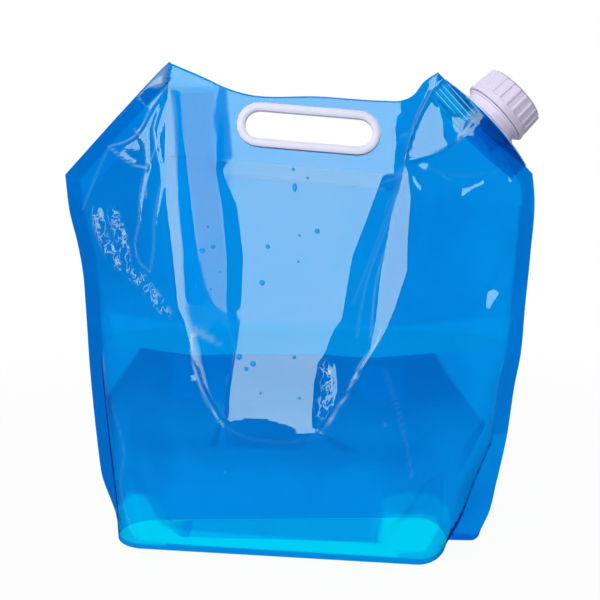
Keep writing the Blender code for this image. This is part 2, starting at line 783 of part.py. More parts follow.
def handle_back_frame(finish):
    """The back half, which snaps over the front one's collar."""
    face = [
        slot_loop(offset, FRAME_FACE - FRAME_DOME_HEIGHT + FRAME_DOME_HEIGHT * lift)
        for offset, lift in dome(HOLE_OFFSET, FRAME_WIDTH, FRAME_DOME_STEPS)
    ]
    body = [slot_loop(FRAME_WIDTH, FRAME_SEAT), slot_loop(HOLE_OFFSET, FRAME_SEAT)]
    return loop_solid("handle_back_frame", face + body, finish, web_matrix())


def spout_matrix():
    """The spout's frame: Z out along its axis, X down the slope, and its origin at the film's edge."""
    slope = Vector((-SLOPE[0], 0, -SLOPE[1]))
    flat = math.cos(SPOUT_LEAN)
    out = Vector((OUTWARD[0] * flat, math.sin(SPOUT_LEAN), OUTWARD[1] * flat))
    side = out.cross(slope)
    turned = Matrix((slope, side, out)).transposed().to_4x4()
    foot = (SPOUT_FOOT[0], float(seal_plane(*SPOUT_FOOT)), SPOUT_FOOT[1])
    return Matrix.Translation(foot) @ turned


def round_loop(radius, height, steps=SPOUT_STEPS):
    angles = [2 * math.pi * i / steps for i in range(steps)]
    return [(radius * math.cos(a), radius * math.sin(a), height) for a in angles]


def lens_loop(shrink, height):
    """The boat-shaped outline of the spout's foot, at this height."""
    length, thickness = BOAT_HALF_LENGTH - shrink, BOAT_HALF_THICKNESS - shrink
    angles = [2 * math.pi * i / SPOUT_STEPS for i in range(SPOUT_STEPS)]
    return [(length * math.cos(a), thickness * math.sin(a) * abs(math.sin(a)), height) for a in angles]


def thread(name, root_radius, crest_radius, start, turns):
    """A right-handed helical ridge between two radii, that fades at both ends."""
    count = round(turns * THREAD_STEPS)
    fade = THREAD_STEPS * THREAD_FADE_SHARE
    loops = []
    for i in range(count + 1):
        angle = 2 * math.pi * i / THREAD_STEPS
        height = start + THREAD_PITCH * i / THREAD_STEPS
        full = min(1, (i + 1) / fade, (count - i + 1) / fade)
        crest = root_radius + (crest_radius - root_radius) * full
        sunk = root_radius - math.copysign(THREAD_ROOT_SINK, crest_radius - root_radius)
        section = (
            (sunk, -THREAD_ROOT_THICKNESS / 2),
            (crest, -THREAD_CREST_THICKNESS / 2),
            (crest, THREAD_CREST_THICKNESS / 2),
            (sunk, THREAD_ROOT_THICKNESS / 2),
        )
        loops.append([(r * math.cos(angle), r * math.sin(angle), height + h) for r, h in section])
    return loop_solid(name, loops, None, spout_matrix(), closed=False)


def spout_fitment(finish):
    """One moulding: the ribbed boat that is welded between the panels, the neck and its thread."""
    loops = [lens_loop(0, -BOAT_HEIGHT)]
    pitch = (BOAT_HEIGHT - BOAT_RIB_HEIGHT) / (BOAT_RIBS - 1)
    for rib in range(BOAT_RIBS - 1):
        low = -BOAT_HEIGHT + rib * pitch + BOAT_RIB_HEIGHT
        high = -BOAT_HEIGHT + (rib + 1) * pitch
        loops += [lens_loop(0, low), lens_loop(BOAT_RIB_DEPTH, low)]
        loops += [lens_loop(BOAT_RIB_DEPTH, high), lens_loop(0, high)]
    shoulder = BOAT_TOP + NECK_SHOULDER_THICKNESS
    ring_top = CAP_BOTTOM - CAP_SEAT_GAP
    ring = ring_top - SUPPORT_RING_HEIGHT
    loops += [lens_loop(0, BOAT_TOP), round_loop(SUPPORT_RING_RADIUS, BOAT_TOP + EDGE_EASE)]
    loops += [round_loop(SUPPORT_RING_RADIUS, shoulder), round_loop(NECK_RADIUS, shoulder + EDGE_EASE)]
    loops += [round_loop(NECK_RADIUS, ring), round_loop(SUPPORT_RING_RADIUS, ring + EDGE_EASE)]
    loops += [round_loop(SUPPORT_RING_RADIUS, ring_top - EDGE_EASE)]
    loops += [round_loop(THREAD_ROOT_RADIUS, ring_top)]
    loops += [round_loop(THREAD_ROOT_RADIUS, LIP_HEIGHT - LIP_CHAMFER)]
    loops += [round_loop(THREAD_ROOT_RADIUS - LIP_CHAMFER, LIP_HEIGHT)]
    loops += [round_loop(NECK_BORE_RADIUS, LIP_HEIGHT), round_loop(NECK_BORE_RADIUS, -BOAT_HEIGHT)]
    obj = loop_solid("spout_fitment", loops, finish, spout_matrix())
    crest = THREAD_ROOT_RADIUS + THREAD_DEPTH
    cut(obj, thread("neck_thread", THREAD_ROOT_RADIUS, crest, NECK_THREAD_START, NECK_THREAD_TURNS), "UNION")
    return obj


def ribbed_loop(land, groove, height):
    """A loop round the cap with a raised rib and a groove in turn."""
    loop = []
    for rib in range(CAP_RIBS):
        for share, radius in zip(CAP_RIB_SHARES, (groove, land, land, groove)):
            angle = 2 * math.pi * (rib + share) / CAP_RIBS
            loop.append((radius * math.cos(angle), radius * math.sin(angle), height))
    return loop


def cap_shell(finish):
    """The screw cap: a ribbed grip, a plain skirt with a rim, and a thread inside."""
    ceiling = CAP_TOP - CAP_TOP_THICKNESS
    rim_top = CAP_BOTTOM + CAP_RIM_HEIGHT
    grip = CAP_BOTTOM + CAP_SKIRT_HEIGHT
    land = CAP_OUTER_RADIUS + CAP_RIB_HEIGHT

    def plain(radius, height):
        return ribbed_loop(radius, radius, height)

    outer = [
        plain(CAP_INNER_RADIUS + EDGE_EASE, CAP_BOTTOM),
        plain(CAP_RIM_RADIUS - EDGE_EASE, CAP_BOTTOM),
        plain(CAP_RIM_RADIUS, CAP_BOTTOM + EDGE_EASE),
        plain(CAP_RIM_RADIUS, rim_top - EDGE_EASE),
        plain(land, rim_top),
        plain(land, grip - CAP_RIB_HEIGHT),
        ribbed_loop(land, CAP_OUTER_RADIUS, grip),
        ribbed_loop(land - CAP_TOP_TAPER, CAP_OUTER_RADIUS - CAP_TOP_TAPER, CAP_TOP - CAP_TOP_CHAMFER),
        plain(CAP_OUTER_RADIUS - CAP_TOP_TAPER - CAP_TOP_CHAMFER, CAP_TOP),
    ]
    inner = [plain(CAP_INNER_RADIUS, CAP_BOTTOM + EDGE_EASE), plain(CAP_INNER_RADIUS, ceiling)]
    obj = loop_solid("cap_shell", inner[::-1] + outer, finish, spout_matrix(), closed=False)
    start = NECK_THREAD_START - THREAD_PITCH / 2
    crest = CAP_INNER_RADIUS - THREAD_DEPTH
    cut(obj, thread("cap_thread", CAP_INNER_RADIUS, crest, start, CAP_THREAD_TURNS), "UNION")
    return obj


def cap_liner(finish):
    """The sealing disc, held in the cap's ceiling over the neck's lip."""
    radius = CAP_INNER_RADIUS - LINER_GAP
    loops = [round_loop(radius, LINER_TOP - LINER_THICKNESS), round_loop(radius, LINER_TOP)]
    return loop_solid("cap_liner", loops, finish, spout_matrix(), closed=False)


def gusset(finish):
    """The bottom film: flat on the floor, and folded up between the panels at both ends."""
    left = scaled(LEFT_SIDE_SHARES)[0][0] + SEAL_WIDTH + GUSSET_END_INSET
    right = scaled(RIGHT_SIDE_SHARES)[0][0] - SEAL_WIDTH - FOOT_FIN_WIDTH - GUSSET_END_INSET
    xs = np.linspace(left, right, GUSSET_COLUMNS)
    middle, half = (left + right) / 2, (right - left) / 2
    out = np.abs(xs - middle) / half
    rise = GUSSET_END_RISE * eased((out - GUSSET_RISE_START_SHARE) / (1 - GUSSET_RISE_START_SHARE))
    front_foot, back_foot = panel_points(True)[0], panel_points(False)[0]
    front = np.interp(xs, front_foot[:, 0], front_foot[:, 1]) + GUSSET_CLEARANCE
    back = np.interp(xs, back_foot[:, 0], back_foot[:, 1]) - GUSSET_CLEARANCE
    rows = []
    for w in np.linspace(0, 1, GUSSET_ROWS + 1):
        fold = 1 - abs(2 * w - 1)
        lift = eased(fold / GUSSET_FLAT_SHARE)
        rows.append(np.stack([xs, front * (1 - w) + back * w, FILM_THICKNESS + rise * lift], axis=-1))
    return thicken(grid_object("bottom_gusset", np.array(rows), finish), side=-1.0)


def build():
    clear_scene()
    film = material("blue_film", FILM_BLUE, 0.12)
    handle = material("handle_plastic", HANDLE_WHITE, 0.35)
    spout = material("spout_plastic", SPOUT_WHITE, 0.35)
    liner = material("liner_foam", LINER_WHITE, 0.6)
    panel("front_panel", True, film)
    panel("back_panel", False, film)
    gusset(film)
    handle_front_frame(handle)
    handle_back_frame(handle)
    spout_fitment(spout)
    cap_shell(spout)
    cap_liner(liner)


build()
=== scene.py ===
"""Looks of the collapsible water carrier: finely creased film in place of the frame's plain sheets, water,
droplets, materials for the mouldings, studio light and camera. Metres, +Z up, the front faces -Y."""

import math

import bmesh
import bpy
import numpy as np
from mathutils import Matrix, Vector, noise

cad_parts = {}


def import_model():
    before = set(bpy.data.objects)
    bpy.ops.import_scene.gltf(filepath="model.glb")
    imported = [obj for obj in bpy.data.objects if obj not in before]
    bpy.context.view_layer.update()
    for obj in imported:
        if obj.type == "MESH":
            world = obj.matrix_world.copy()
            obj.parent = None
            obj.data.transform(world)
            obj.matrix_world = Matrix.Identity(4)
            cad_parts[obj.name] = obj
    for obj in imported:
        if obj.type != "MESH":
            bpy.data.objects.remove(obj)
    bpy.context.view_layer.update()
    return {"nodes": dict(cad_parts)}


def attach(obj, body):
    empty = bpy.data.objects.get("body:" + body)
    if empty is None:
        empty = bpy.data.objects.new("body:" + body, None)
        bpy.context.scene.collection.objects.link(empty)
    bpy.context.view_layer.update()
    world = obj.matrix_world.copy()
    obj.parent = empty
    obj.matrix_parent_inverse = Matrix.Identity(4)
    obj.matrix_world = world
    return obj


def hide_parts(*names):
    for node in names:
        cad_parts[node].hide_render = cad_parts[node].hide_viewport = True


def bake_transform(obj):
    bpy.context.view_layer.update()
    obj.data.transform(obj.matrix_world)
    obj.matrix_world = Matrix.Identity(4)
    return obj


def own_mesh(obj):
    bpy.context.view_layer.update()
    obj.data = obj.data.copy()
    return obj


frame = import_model()

MM = 0.001

# Pouch, as in the part
BAG_HALF_WIDTH = 155 * MM
BAG_HEIGHT = 320 * MM
BELLY_DEPTH = 57 * MM
FILM_THICKNESS = 0.5 * MM
FILM_GAP = 0.3 * MM
SEAL_WIDTH = 9 * MM
RIGHT_SEAL_SHARE = 0.75  # how much of the deep colour a seal at the right has
RIGHT_FIN_SEAL_SHARE = 0.25
WEB_BAND_SHARE = 0.25
PAINTED_LIGHT_DULL_SHARE = 0.6  # how much of its mirrored light a patch of painted light loses
SOFT_SPREAD = 1.5  # how fast crumples fade in, and how far out soft patches reach
FOOT_FIN_WIDTH = 15 * MM
FOOT_FIN_HEIGHT = 75 * MM
FOOT_LIFT = 0.5 * MM
PROBE = 0.1 * MM  # a step for measuring slopes, and the least width to divide by

LEFT_SIDE_SHARES = (
    (-0.865, 0.0), (-0.871, 0.079), (-0.890, 0.157), (-0.905, 0.233), (-0.925, 0.363), (-0.937, 0.492),
    (-0.946, 0.566), (-0.967, 0.629), (-0.997, 0.692), (-1.013, 0.770),
)
RIGHT_SIDE_SHARES = (
    (0.783, 0.0), (0.812, 0.040), (0.847, 0.134), (0.882, 0.221), (0.915, 0.345), (0.934, 0.398),
    (0.950, 0.506), (0.966, 0.608), (0.979, 0.735), (0.970, 0.776),
)
TOP_EDGE_SHARES = (
    (-0.577, 0.999), (-0.409, 0.965), (-0.337, 0.949), (-0.261, 0.937), (0.075, 0.930), (0.348, 0.922),
    (0.410, 0.922), (0.461, 0.932), (0.514, 0.963), (0.567, 0.981),
)
CORNER_ROW_SHARE = 0.72
ROWS = 215
ROWS_BELOW_CORNER_SHARE = 0.74
ROW_STEPS = 400
CREASE_TRIES = 6
SEAL_STEPS = 60
EDGE_STEPS = 200

FRONT_DEPTH_SHARES = (
    (0.0, 0.76), (0.08, 0.93), (0.2, 1.0), (0.33, 0.98), (0.44, 0.90), (0.56, 0.73), (0.67, 0.53),
    (0.77, 0.36), (0.86, 0.25), (1.0, 0.14),
)
BACK_DEPTH_SHARES = (
    (0.0, 0.70), (0.08, 0.82), (0.2, 0.88), (0.33, 0.88), (0.44, 0.83), (0.56, 0.66), (0.67, 0.46),
    (0.77, 0.30), (0.86, 0.20), (1.0, 0.10),
)
FOOT_SKEW_SHARE = 0.38
BELLY_SKEW_SHARE = 0.06
FOOT_ROUNDING = 20 * MM
FRONT_SIDE_ROUNDING = 100 * MM
BACK_SIDE_ROUNDING = 62 * MM
ROUNDING_RISE_SHARE = 0.36

# Creases of the front film, as shares (height, half width) down each line
LEFT_RIDGE_SHARES = (
    (0.24, -0.36), (0.298, -0.310), (0.359, -0.382), (0.420, -0.429), (0.492, -0.473), (0.515, -0.500),
    (0.619, -0.532), (0.722, -0.566), (0.825, -0.581), (0.906, -0.587), (0.945, -0.593),
)
LEFT_STRIP_SHARES = (
    (0.24, -0.33), (0.298, -0.304), (0.359, -0.371), (0.432, -0.417), (0.515, -0.478), (0.619, -0.491),
    (0.722, -0.520), (0.825, -0.522), (0.906, -0.536), (0.945, -0.550),
)
WEDGE_LEFT_SHARES = (
    (0.24, -0.31), (0.303, -0.301), (0.369, -0.287), (0.432, -0.268), (0.507, -0.316), (0.530, -0.388),
    (0.608, -0.417), (0.704, -0.452), (0.847, -0.506), (0.935, -0.530),
)
WEDGE_RIGHT_SHARES = (
    (0.24, -0.30), (0.303, -0.299), (0.369, -0.283), (0.432, -0.261), (0.508, -0.297), (0.601, -0.303),
    (0.744, -0.344), (0.800, -0.361), (0.884, -0.385), (0.94, -0.375),
)
PANE_LEFT_SHARES = (
    (0.24, -0.29), (0.306, -0.298), (0.369, -0.276), (0.432, -0.254), (0.488, -0.236), (0.616, -0.236),
    (0.710, -0.268), (0.770, -0.335), (0.785, -0.345), (0.807, -0.301), (0.944, -0.332),
)
PANE_RIGHT_SHARES = (
    (0.24, 0.03), (0.281, 0.068), (0.373, 0.074), (0.415, 0.101), (0.472, 0.149), (0.492, 0.182),
    (0.615, 0.223), (0.703, 0.294), (0.762, 0.339), (0.80, 0.39), (0.94, 0.40),
)
RIGHT_RIDGE_SHARES = (
    (0.24, 0.18), (0.278, 0.094), (0.328, 0.151), (0.383, 0.232), (0.433, 0.301), (0.498, 0.324),
    (0.582, 0.338), (0.694, 0.380), (0.794, 0.435), (0.834, 0.450), (0.887, 0.486), (0.972, 0.542),
)
RIGHT_STRIP_SHARES = (
    (0.24, 0.26), (0.278, 0.100), (0.328, 0.158), (0.383, 0.242), (0.433, 0.310), (0.474, 0.362),
    (0.517, 0.401), (0.592, 0.453), (0.654, 0.451), (0.732, 0.461), (0.786, 0.444), (0.80, 0.452),
    (0.834, 0.608), (0.862, 0.582), (0.915, 0.564), (0.972, 0.552),
)
CREASE_LINES = (
    LEFT_RIDGE_SHARES, LEFT_STRIP_SHARES, WEDGE_LEFT_SHARES, WEDGE_RIGHT_SHARES,
    PANE_LEFT_SHARES, PANE_RIGHT_SHARES, RIGHT_RIDGE_SHARES, RIGHT_STRIP_SHARES,
)

# Columns of the grid between one line and the next, from the left side seal to the right one
SECTION_COLUMNS = (5, 44, 6, 6, 12, 8, 50, 18, 14, 46, 5)
COLUMN_GAP = 0.2 * MM  # at least, between lines


def between(left, right):
    """The outline between two crease lines, as shares (half width, height)."""
    return tuple((x, z) for z, x in (*left, *right[::-1]))


# How far in front of the seals each ridge stands, as shares (height, depth of the belly)
LEFT_RIDGE_DEPTH_SHARES = (
    (0.25, 1.0), (0.298, 0.98), (0.359, 0.93), (0.420, 0.86), (0.492, 0.73), (0.604, 0.52), (0.706, 0.31),
)
LEFT_RISE_START_SHARE = 0.706
LEFT_RISE_START_DEPTH = 17.67 * MM
LEFT_RISE_LEAN = 0.385
RIGHT_RIDGE_DEPTH_SHARES = (
    (0.25, 1.0), (0.278, 0.99), (0.328, 0.975), (0.383, 0.93), (0.433, 0.85), (0.498, 0.745), (0.582, 0.60),
    (0.694, 0.37), (0.775, 0.20), (0.887, 0.07), (0.945, 0.0),
)

# From the left ridge to the pane the film drops gently and steeply by turns
STEEP_SHARE = 1.0
GENTLE_SHARE = 0.10
STRIPE_LEAST_WIDTH = 8 * MM  # that a steep stripe counts as at least, high up
STRIPE_LEAST_START = 0.52
STRIPE_LEAST_RISE = 0.14
EDGE_TURN = 6 * MM  # over which folds fade in from the seals
TOP_TURN = 1 * MM  # over which the facets turn into the seal above them
ROUND_SHARE = 0.37  # of the height, up to which the sides are round
STRAIGHT_SHARE = 0.45  # of the height, from which they are straight
LIP_SHARES = (
    (-0.36, 0.300), (-0.306, 0.302), (-0.272, 0.288), (-0.205, 0.296), (-0.109, 0.294), (-0.030, 0.285),
    (0.048, 0.271), (0.094, 0.278), (0.16, 0.280),
)
SHOULDER_START_SHARE = 0.27  # of the height, where the round belly starts to go over into the facets
SHOULDER_END_SHARE = 0.37

# Lines of folds, as shares (half width, height)
STAR_TOP = (
    (-0.821, 0.829), (-0.760, 0.837), (-0.713, 0.849), (-0.683, 0.868), (-0.647, 0.905), (-0.582, 0.949),
)
STAR_MIDDLE = ((-0.821, 0.829), (-0.761, 0.806), (-0.706, 0.792), (-0.655, 0.786))
STAR_CROSS = ((-0.712, 0.864), (-0.666, 0.833), (-0.655, 0.786))
STAR_CORNER = ((-0.821, 0.829), (-0.856, 0.792), (-0.938, 0.698))
SHOULDER_FOLD = ((0.562, 0.973), (0.443, 0.800))
SHOULDER_SIDE_FOLD = ((0.526, 0.943), (0.455, 0.830))
BELLY_FOLD = ((0.363, 0.400), (0.426, 0.312), (0.457, 0.250), (0.483, 0.188))
LEFT_FOOT_FOLD = ((-0.80, 0.30), (-0.745, 0.21), (-0.765, 0.12), (-0.70, 0.03))

# Sharp folds of the front film: height and half width in millimetres, and the line
FOLDS = (
    (0.9, 2.2, STAR_TOP),
    (0.9, 2.2, STAR_MIDDLE),
    (0.7, 2.0, STAR_CROSS),
    (0.9, 2.4, (
        (-0.609, 0.905), (-0.632, 0.864), (-0.620, 0.823), (-0.599, 0.792), (-0.592, 0.752),
        (-0.612, 0.689), (-0.614, 0.627), (-0.628, 0.581),
    )),
    (0.9, 2.4, (
        (-0.655, 0.786), (-0.674, 0.751), (-0.683, 0.720), (-0.685, 0.668), (-0.699, 0.637),
        (-0.666, 0.591), (-0.628, 0.581),
    )),
    (0.35, 1.6, STAR_CORNER),
    (1.0, 2.2, SHOULDER_FOLD),
    (0.6, 2.0, SHOULDER_SIDE_FOLD),
    (0.8, 2.6, ((0.443, 0.790), (0.511, 0.752))),
    (0.6, 2.0, ((0.514, 0.642), (0.572, 0.622), (0.606, 0.632))),
    (0.5, 1.6, ((0.420, 0.780), (0.365, 0.680), (0.280, 0.560), (0.245, 0.460))),
    (0.4, 1.6, ((0.395, 0.760), (0.335, 0.660), (0.250, 0.560), (0.215, 0.470))),
    (0.35, 2.0, BELLY_FOLD),
    (0.5, 2.4, LEFT_FOOT_FOLD),
    (0.7, 3.0, ((-0.300, 0.285), (-0.210, 0.263), (-0.065, 0.259), (0.059, 0.277))),
)

# Small flat facets that face up towards the light, as shares round their outlines
FACETS = (
    ((0.545, 0.935), (0.560, 0.918), (0.586, 0.884), (0.591, 0.852), (0.612, 0.828), (0.443, 0.790)),
    ((0.612, 0.828), (0.698, 0.874), (0.690, 0.884), (0.612, 0.838)),
    ((-0.690, 0.935), (-0.650, 0.960), (-0.577, 0.999), (-0.592, 0.950), (-0.640, 0.948)),
    ((0.673, 0.727), (0.767, 0.757), (0.767, 0.775), (0.673, 0.748)),
    ((0.841, 0.785), (0.895, 0.765), (0.890, 0.745), (0.850, 0.765)),
    ((0.842, 0.742), (0.868, 0.738), (0.866, 0.720), (0.848, 0.722)),
    ((0.763, 0.514), (0.770, 0.540), (0.806, 0.549), (0.865, 0.539), (0.825, 0.514), (0.800, 0.490)),
)
FACET_LEAN = 0.34
FACET_EDGE = 2 * MM

# Where the film is crumpled: radius, and shares along the middle
CRUMPLES = (
    (6 * MM, (
        (-0.876, 0.690), (-0.856, 0.649), (-0.806, 0.601), (-0.739, 0.577), (-0.666, 0.560),
        (-0.556, 0.504),
    )),
    (6 * MM, ((-0.800, 0.690), (-0.765, 0.645), (-0.745, 0.600))),
    (6 * MM, ((0.120, 0.400), (0.130, 0.360), (0.105, 0.315))),
)
CRUMPLE_HEIGHT = 1.6 * MM
CRUMPLE_SIZE = 6.5 * MM
CRUMPLE_FINE_SHARE = 0.5
CRUMPLE_FINE_SCALE = 2.1

# Painted light: where the film's colour is painted lighter, as shares round each outline, with its strength
PAINTED_LIGHT_PATCHES = (
    (1.0, (
        (-0.734, 0.123), (-0.657, 0.124), (-0.623, 0.107), (-0.578, 0.061), (-0.500, 0.046),
        (-0.703, 0.026), (-0.745, 0.053), (-0.756, 0.091),
    )),
    (1.0, (
        (0.348, 0.086), (0.360, 0.107), (0.410, 0.114), (0.514, 0.117), (0.577, 0.109), (0.594, 0.089),
        (0.566, 0.061), (0.537, 0.035), (0.433, 0.028), (0.340, 0.052),
    )),
    (1.0, (
        (-0.62, 0.056), (-0.41, 0.051), (0.14, 0.047), (0.42, 0.046), (0.42, 0.016), (0.14, 0.016),
        (-0.41, 0.016), (-0.70, 0.020),
    )),
    (0.34, ((-0.80, 0.423), (-0.83, 0.484), (0.90, 0.484), (0.86, 0.423))),
)
# Painted light on the back film, at its two foot corners
BACK_PAINTED_LIGHT_PATCHES = (
    (1.0, ((-0.84, -0.02), (-0.84, 0.052), (-0.78, 0.066), (-0.70, 0.058), (-0.66, 0.035), (-0.60, -0.02))),
    (1.0, (
        (0.36, -0.02), (0.34, 0.035), (0.37, 0.046), (0.45, 0.054), (0.58, 0.051), (0.64, 0.042),
        (0.66, -0.02),
    )),
)
PAINTED_LIGHT_EDGE = 2.5 * MM
FOOT_SEAL_HEIGHT = 4.5 * MM
FOOT_TUCK = 9 * MM  # how far the panels' left foot is drawn in
FOOT_TUCK_HEIGHT = 45 * MM
FOOT_TUCK_START = -100 * MM
FOOT_TUCK_END = -122 * MM
FOOT_CORNER_RADIUS = 9 * MM
RIGHT_FOOT_X = RIGHT_SIDE_SHARES[0][0] * BAG_HALF_WIDTH

# Painted shade: where the film's colour is painted deeper: strength, middle and half size as shares (half
# width, height)
PAINTED_SHADE_PATCHES = (
    (1.3, (-0.90, 0.78), (0.26, 0.22)),
    (0.40, (-0.75, 0.55), (0.28, 0.12)),
    (0.30, (0.55, 0.60), (0.20, 0.22)),
    (0.45, (-0.10, 0.235), (0.55, 0.035)),
    (0.45, (-0.62, 0.20), (0.10, 0.10)),
    (0.40, (0.48, 0.20), (0.12, 0.09)),
    (0.35, (0.50, 0.365), (0.25, 0.05)),
)

# Where the mirrored light is weaker, as shares round each outline, with how much of it is lost
LEFT_STRIPE_SHARES = (
    (-0.569, 0.948), (-0.555, 0.914), (-0.530, 0.802), (-0.498, 0.664), (-0.461, 0.577), (-0.423, 0.592),
    (-0.475, 0.711), (-0.489, 0.775), (-0.517, 0.897), (-0.526, 0.942),
)
WEB_STRIPE_SHARES = (
    (-0.381, 0.886), (-0.365, 0.843), (-0.357, 0.800), (-0.340, 0.782), (-0.297, 0.808), (-0.301, 0.843),
    (-0.321, 0.904), (-0.328, 0.945), (-0.358, 0.949),
)
WEDGE_SHARES = ((-0.55, 0.95), (-0.36, 0.95), (-0.30, 0.80), (-0.29, 0.50), (-0.45, 0.50))
LEFT_BAND_SHARES = ((-1.02, 0.76), (-0.70, 0.932), (-0.64, 0.90), (-0.95, 0.70))
UNDER_WEDGE_SHARES = (
    (-0.490, 0.655), (-0.470, 0.560), (-0.452, 0.500), (-0.421, 0.440), (-0.380, 0.375), (-0.335, 0.300),
    (-0.318, 0.292), (-0.285, 0.340), (-0.262, 0.410), (-0.255, 0.500), (-0.309, 0.506), (-0.350, 0.520),
    (-0.385, 0.553), (-0.410, 0.600), (-0.464, 0.650),
)
LEFT_STRIP_PATCH = between(LEFT_RIDGE_SHARES, LEFT_STRIP_SHARES)
WEDGE_PATCH = between(WEDGE_LEFT_SHARES[4:], WEDGE_RIGHT_SHARES[4:])
PANE_PATCH = between(PANE_LEFT_SHARES, PANE_RIGHT_SHARES)
RIGHT_STRIP_PATCH = between(RIGHT_RIDGE_SHARES, RIGHT_STRIP_SHARES)
HOOK_SHARES = ((0.25, 0.405), (0.44, 0.405), (0.44, 0.34), (0.25, 0.345))
LEFT_SPOT_SHARES = ((-0.52, 0.42), (-0.45, 0.42), (-0.42, 0.34), (-0.52, 0.34))
DULL_PATCHES = (
    (1.0, LEFT_STRIPE_SHARES),
    (0.9, WEB_STRIPE_SHARES),
    (0.35, WEDGE_SHARES),
    (1.0, LEFT_BAND_SHARES),
    (0.95, UNDER_WEDGE_SHARES),
    (1.0, HOOK_SHARES),
    (1.0, LEFT_SPOT_SHARES),
)
LOW_PANE_SHARES = ((-0.28, 0.425), (0.12, 0.425), (0.08, 0.28), (-0.30, 0.30))
WEB_BAND_PATCH = ((-0.345, 0.802), (0.390, 0.7735), (0.360, 0.7455), (-0.330, 0.774))
SHINY_PATCHES = (
    (0.35, WEB_BAND_PATCH),
    (0.3, LEFT_STRIP_PATCH),
    (0.2, LOW_PANE_SHARES),
    (0.12, PANE_PATCH),
    (0.15, RIGHT_STRIP_PATCH),
)
# Painted shade: the colour is painted deeper on the web stripe and under the mirrored strips and pane, so
# that their reflections look lavender
SHADE_UNDER_SHEEN_PATCHES = (
    (0.7, WEB_STRIPE_SHARES), (0.9, LEFT_STRIP_PATCH), (0.7, WEDGE_PATCH), (0.5, PANE_PATCH),
    (0.5, LOW_PANE_SHARES), (0.7, RIGHT_STRIP_PATCH),
)
# Painted highlights in small patches, as shares round each outline, with their strength
HIGHLIGHT_PATCHES = (
    (0.6, ((-0.665, 0.952), (-0.600, 0.988), (-0.577, 0.999), (-0.585, 0.950), (-0.640, 0.946))),
    (0.5, (
        (-0.450, 0.484), (-0.410, 0.477), (-0.350, 0.458), (-0.315, 0.440), (-0.365, 0.449),
        (-0.425, 0.464),
    )),
    (0.5, ((0.680, 0.884), (0.702, 0.880), (0.650, 0.842), (0.628, 0.838))),
)
STRIPE_EDGE = 1.5 * MM

# The lower ends of the two ridges, which carry painted highlights
LEFT_LOW_RIDGE = (
    (-0.460, 0.510), (-0.443, 0.484), (-0.436, 0.438), (-0.416, 0.388), (-0.375, 0.339), (-0.301, 0.286),
)
RIGHT_LOW_RIDGE = (
    (0.345, 0.480), (0.334, 0.459), (0.268, 0.414), (0.219, 0.367), (0.170, 0.321), (0.100, 0.275),
)

# Painted highlights along the folds, ridges and seal edges: strength, and shares along each
HIGHLIGHT_LINES = (
    (0.5, STAR_TOP),
    (0.6, STAR_MIDDLE),
    (0.5, STAR_CROSS),
    (0.45, ((-0.609, 0.905), (-0.632, 0.864), (-0.620, 0.823), (-0.655, 0.786), (-0.655, 0.730))),
    (0.4, (
        (-0.655, 0.786), (-0.674, 0.751), (-0.685, 0.668), (-0.699, 0.637), (-0.666, 0.591),
        (-0.628, 0.581),
    )),
    (0.3, ((-0.592, 0.752), (-0.612, 0.689), (-0.614, 0.627), (-0.628, 0.581))),
    (0.25, STAR_CORNER),
    (0.5, SHOULDER_FOLD),
    (0.4, SHOULDER_SIDE_FOLD),
    (0.35, ((0.443, 0.790), (0.395, 0.690), (0.323, 0.567), (0.304, 0.463))),
    (0.2, ((0.425, 0.780), (0.365, 0.680), (0.280, 0.560), (0.245, 0.460))),
    (0.15, ((0.410, 0.770), (0.335, 0.660), (0.225, 0.520))),
    (0.18, BELLY_FOLD),
    (0.8, RIGHT_LOW_RIDGE),
    (0.9, LEFT_LOW_RIDGE),
    (0.15, ((-0.310, 0.290), (-0.210, 0.263), (-0.065, 0.255), (0.059, 0.262))),
    (0.15, LEFT_FOOT_FOLD),
    (0.12, ((0.50, 0.79), (0.70, 0.775), (0.86, 0.79))),
    (0.3, ((-0.660, 0.95), (-0.540, 0.945), (-0.44, 0.952))),
    (0.3, ((-0.340, 0.802), (0.000, 0.789), (0.390, 0.774))),
    (0.25, ((-0.320, 0.773), (0.000, 0.760), (0.350, 0.746))),
)
HIGHLIGHT_LINE_HALF_WIDTH = 1.15 * MM
HIGHLIGHT_LINE_STEPS = 20
# Painted highlights: fine pale lines over the crumpled stretches
CRUMPLE_HIGHLIGHT_WIDTH = 0.05
CRUMPLE_HIGHLIGHT_SCALE = (210.0, 210.0, 130.0)
CRUMPLE_HIGHLIGHT_DISTORTION = 0.4

# Water drops on the film: X, Z and radius in millimetres, and height as a share of the width
DROPS = (
    (-4.4, 239.5, 1.5, 2.0), (11.0, 212.1, 1.7, 1.0), (-0.6, 209.4, 0.8, 1.0), (-21.1, 202.3, 1.5, 1.0),
    (-24.0, 179.7, 1.8, 1.0), (-37.6, 133.9, 2.0, 1.0), (-28.4, 129.9, 1.8, 1.0), (-32.8, 126.7, 1.5, 1.0),
    (-2.1, 134.0, 1.2, 1.0), (1.6, 109.1, 1.0, 1.0), (-63.1, 200.0, 1.9, 0.8), (-56.1, 202.4, 1.6, 0.8),
    (-5.5, 251.0, 1.0, 1.0), (4.0, 245.5, 0.9, 1.0), (-1.0, 193.0, 0.8, 1.0), (-23.0, 112.0, 0.8, 1.0),
    (-60.0, 215.0, 0.8, 1.0), (-51.0, 187.0, 0.8, 1.0), (-57.0, 176.0, 0.7, 1.0), (-66.0, 178.0, 0.7, 1.0),
    (-46.0, 60.0, 1.2, 1.0),
)
DROP_THICKNESS_SHARE = 0.45
DROP_TURNS = 16
DROP_RINGS = 5

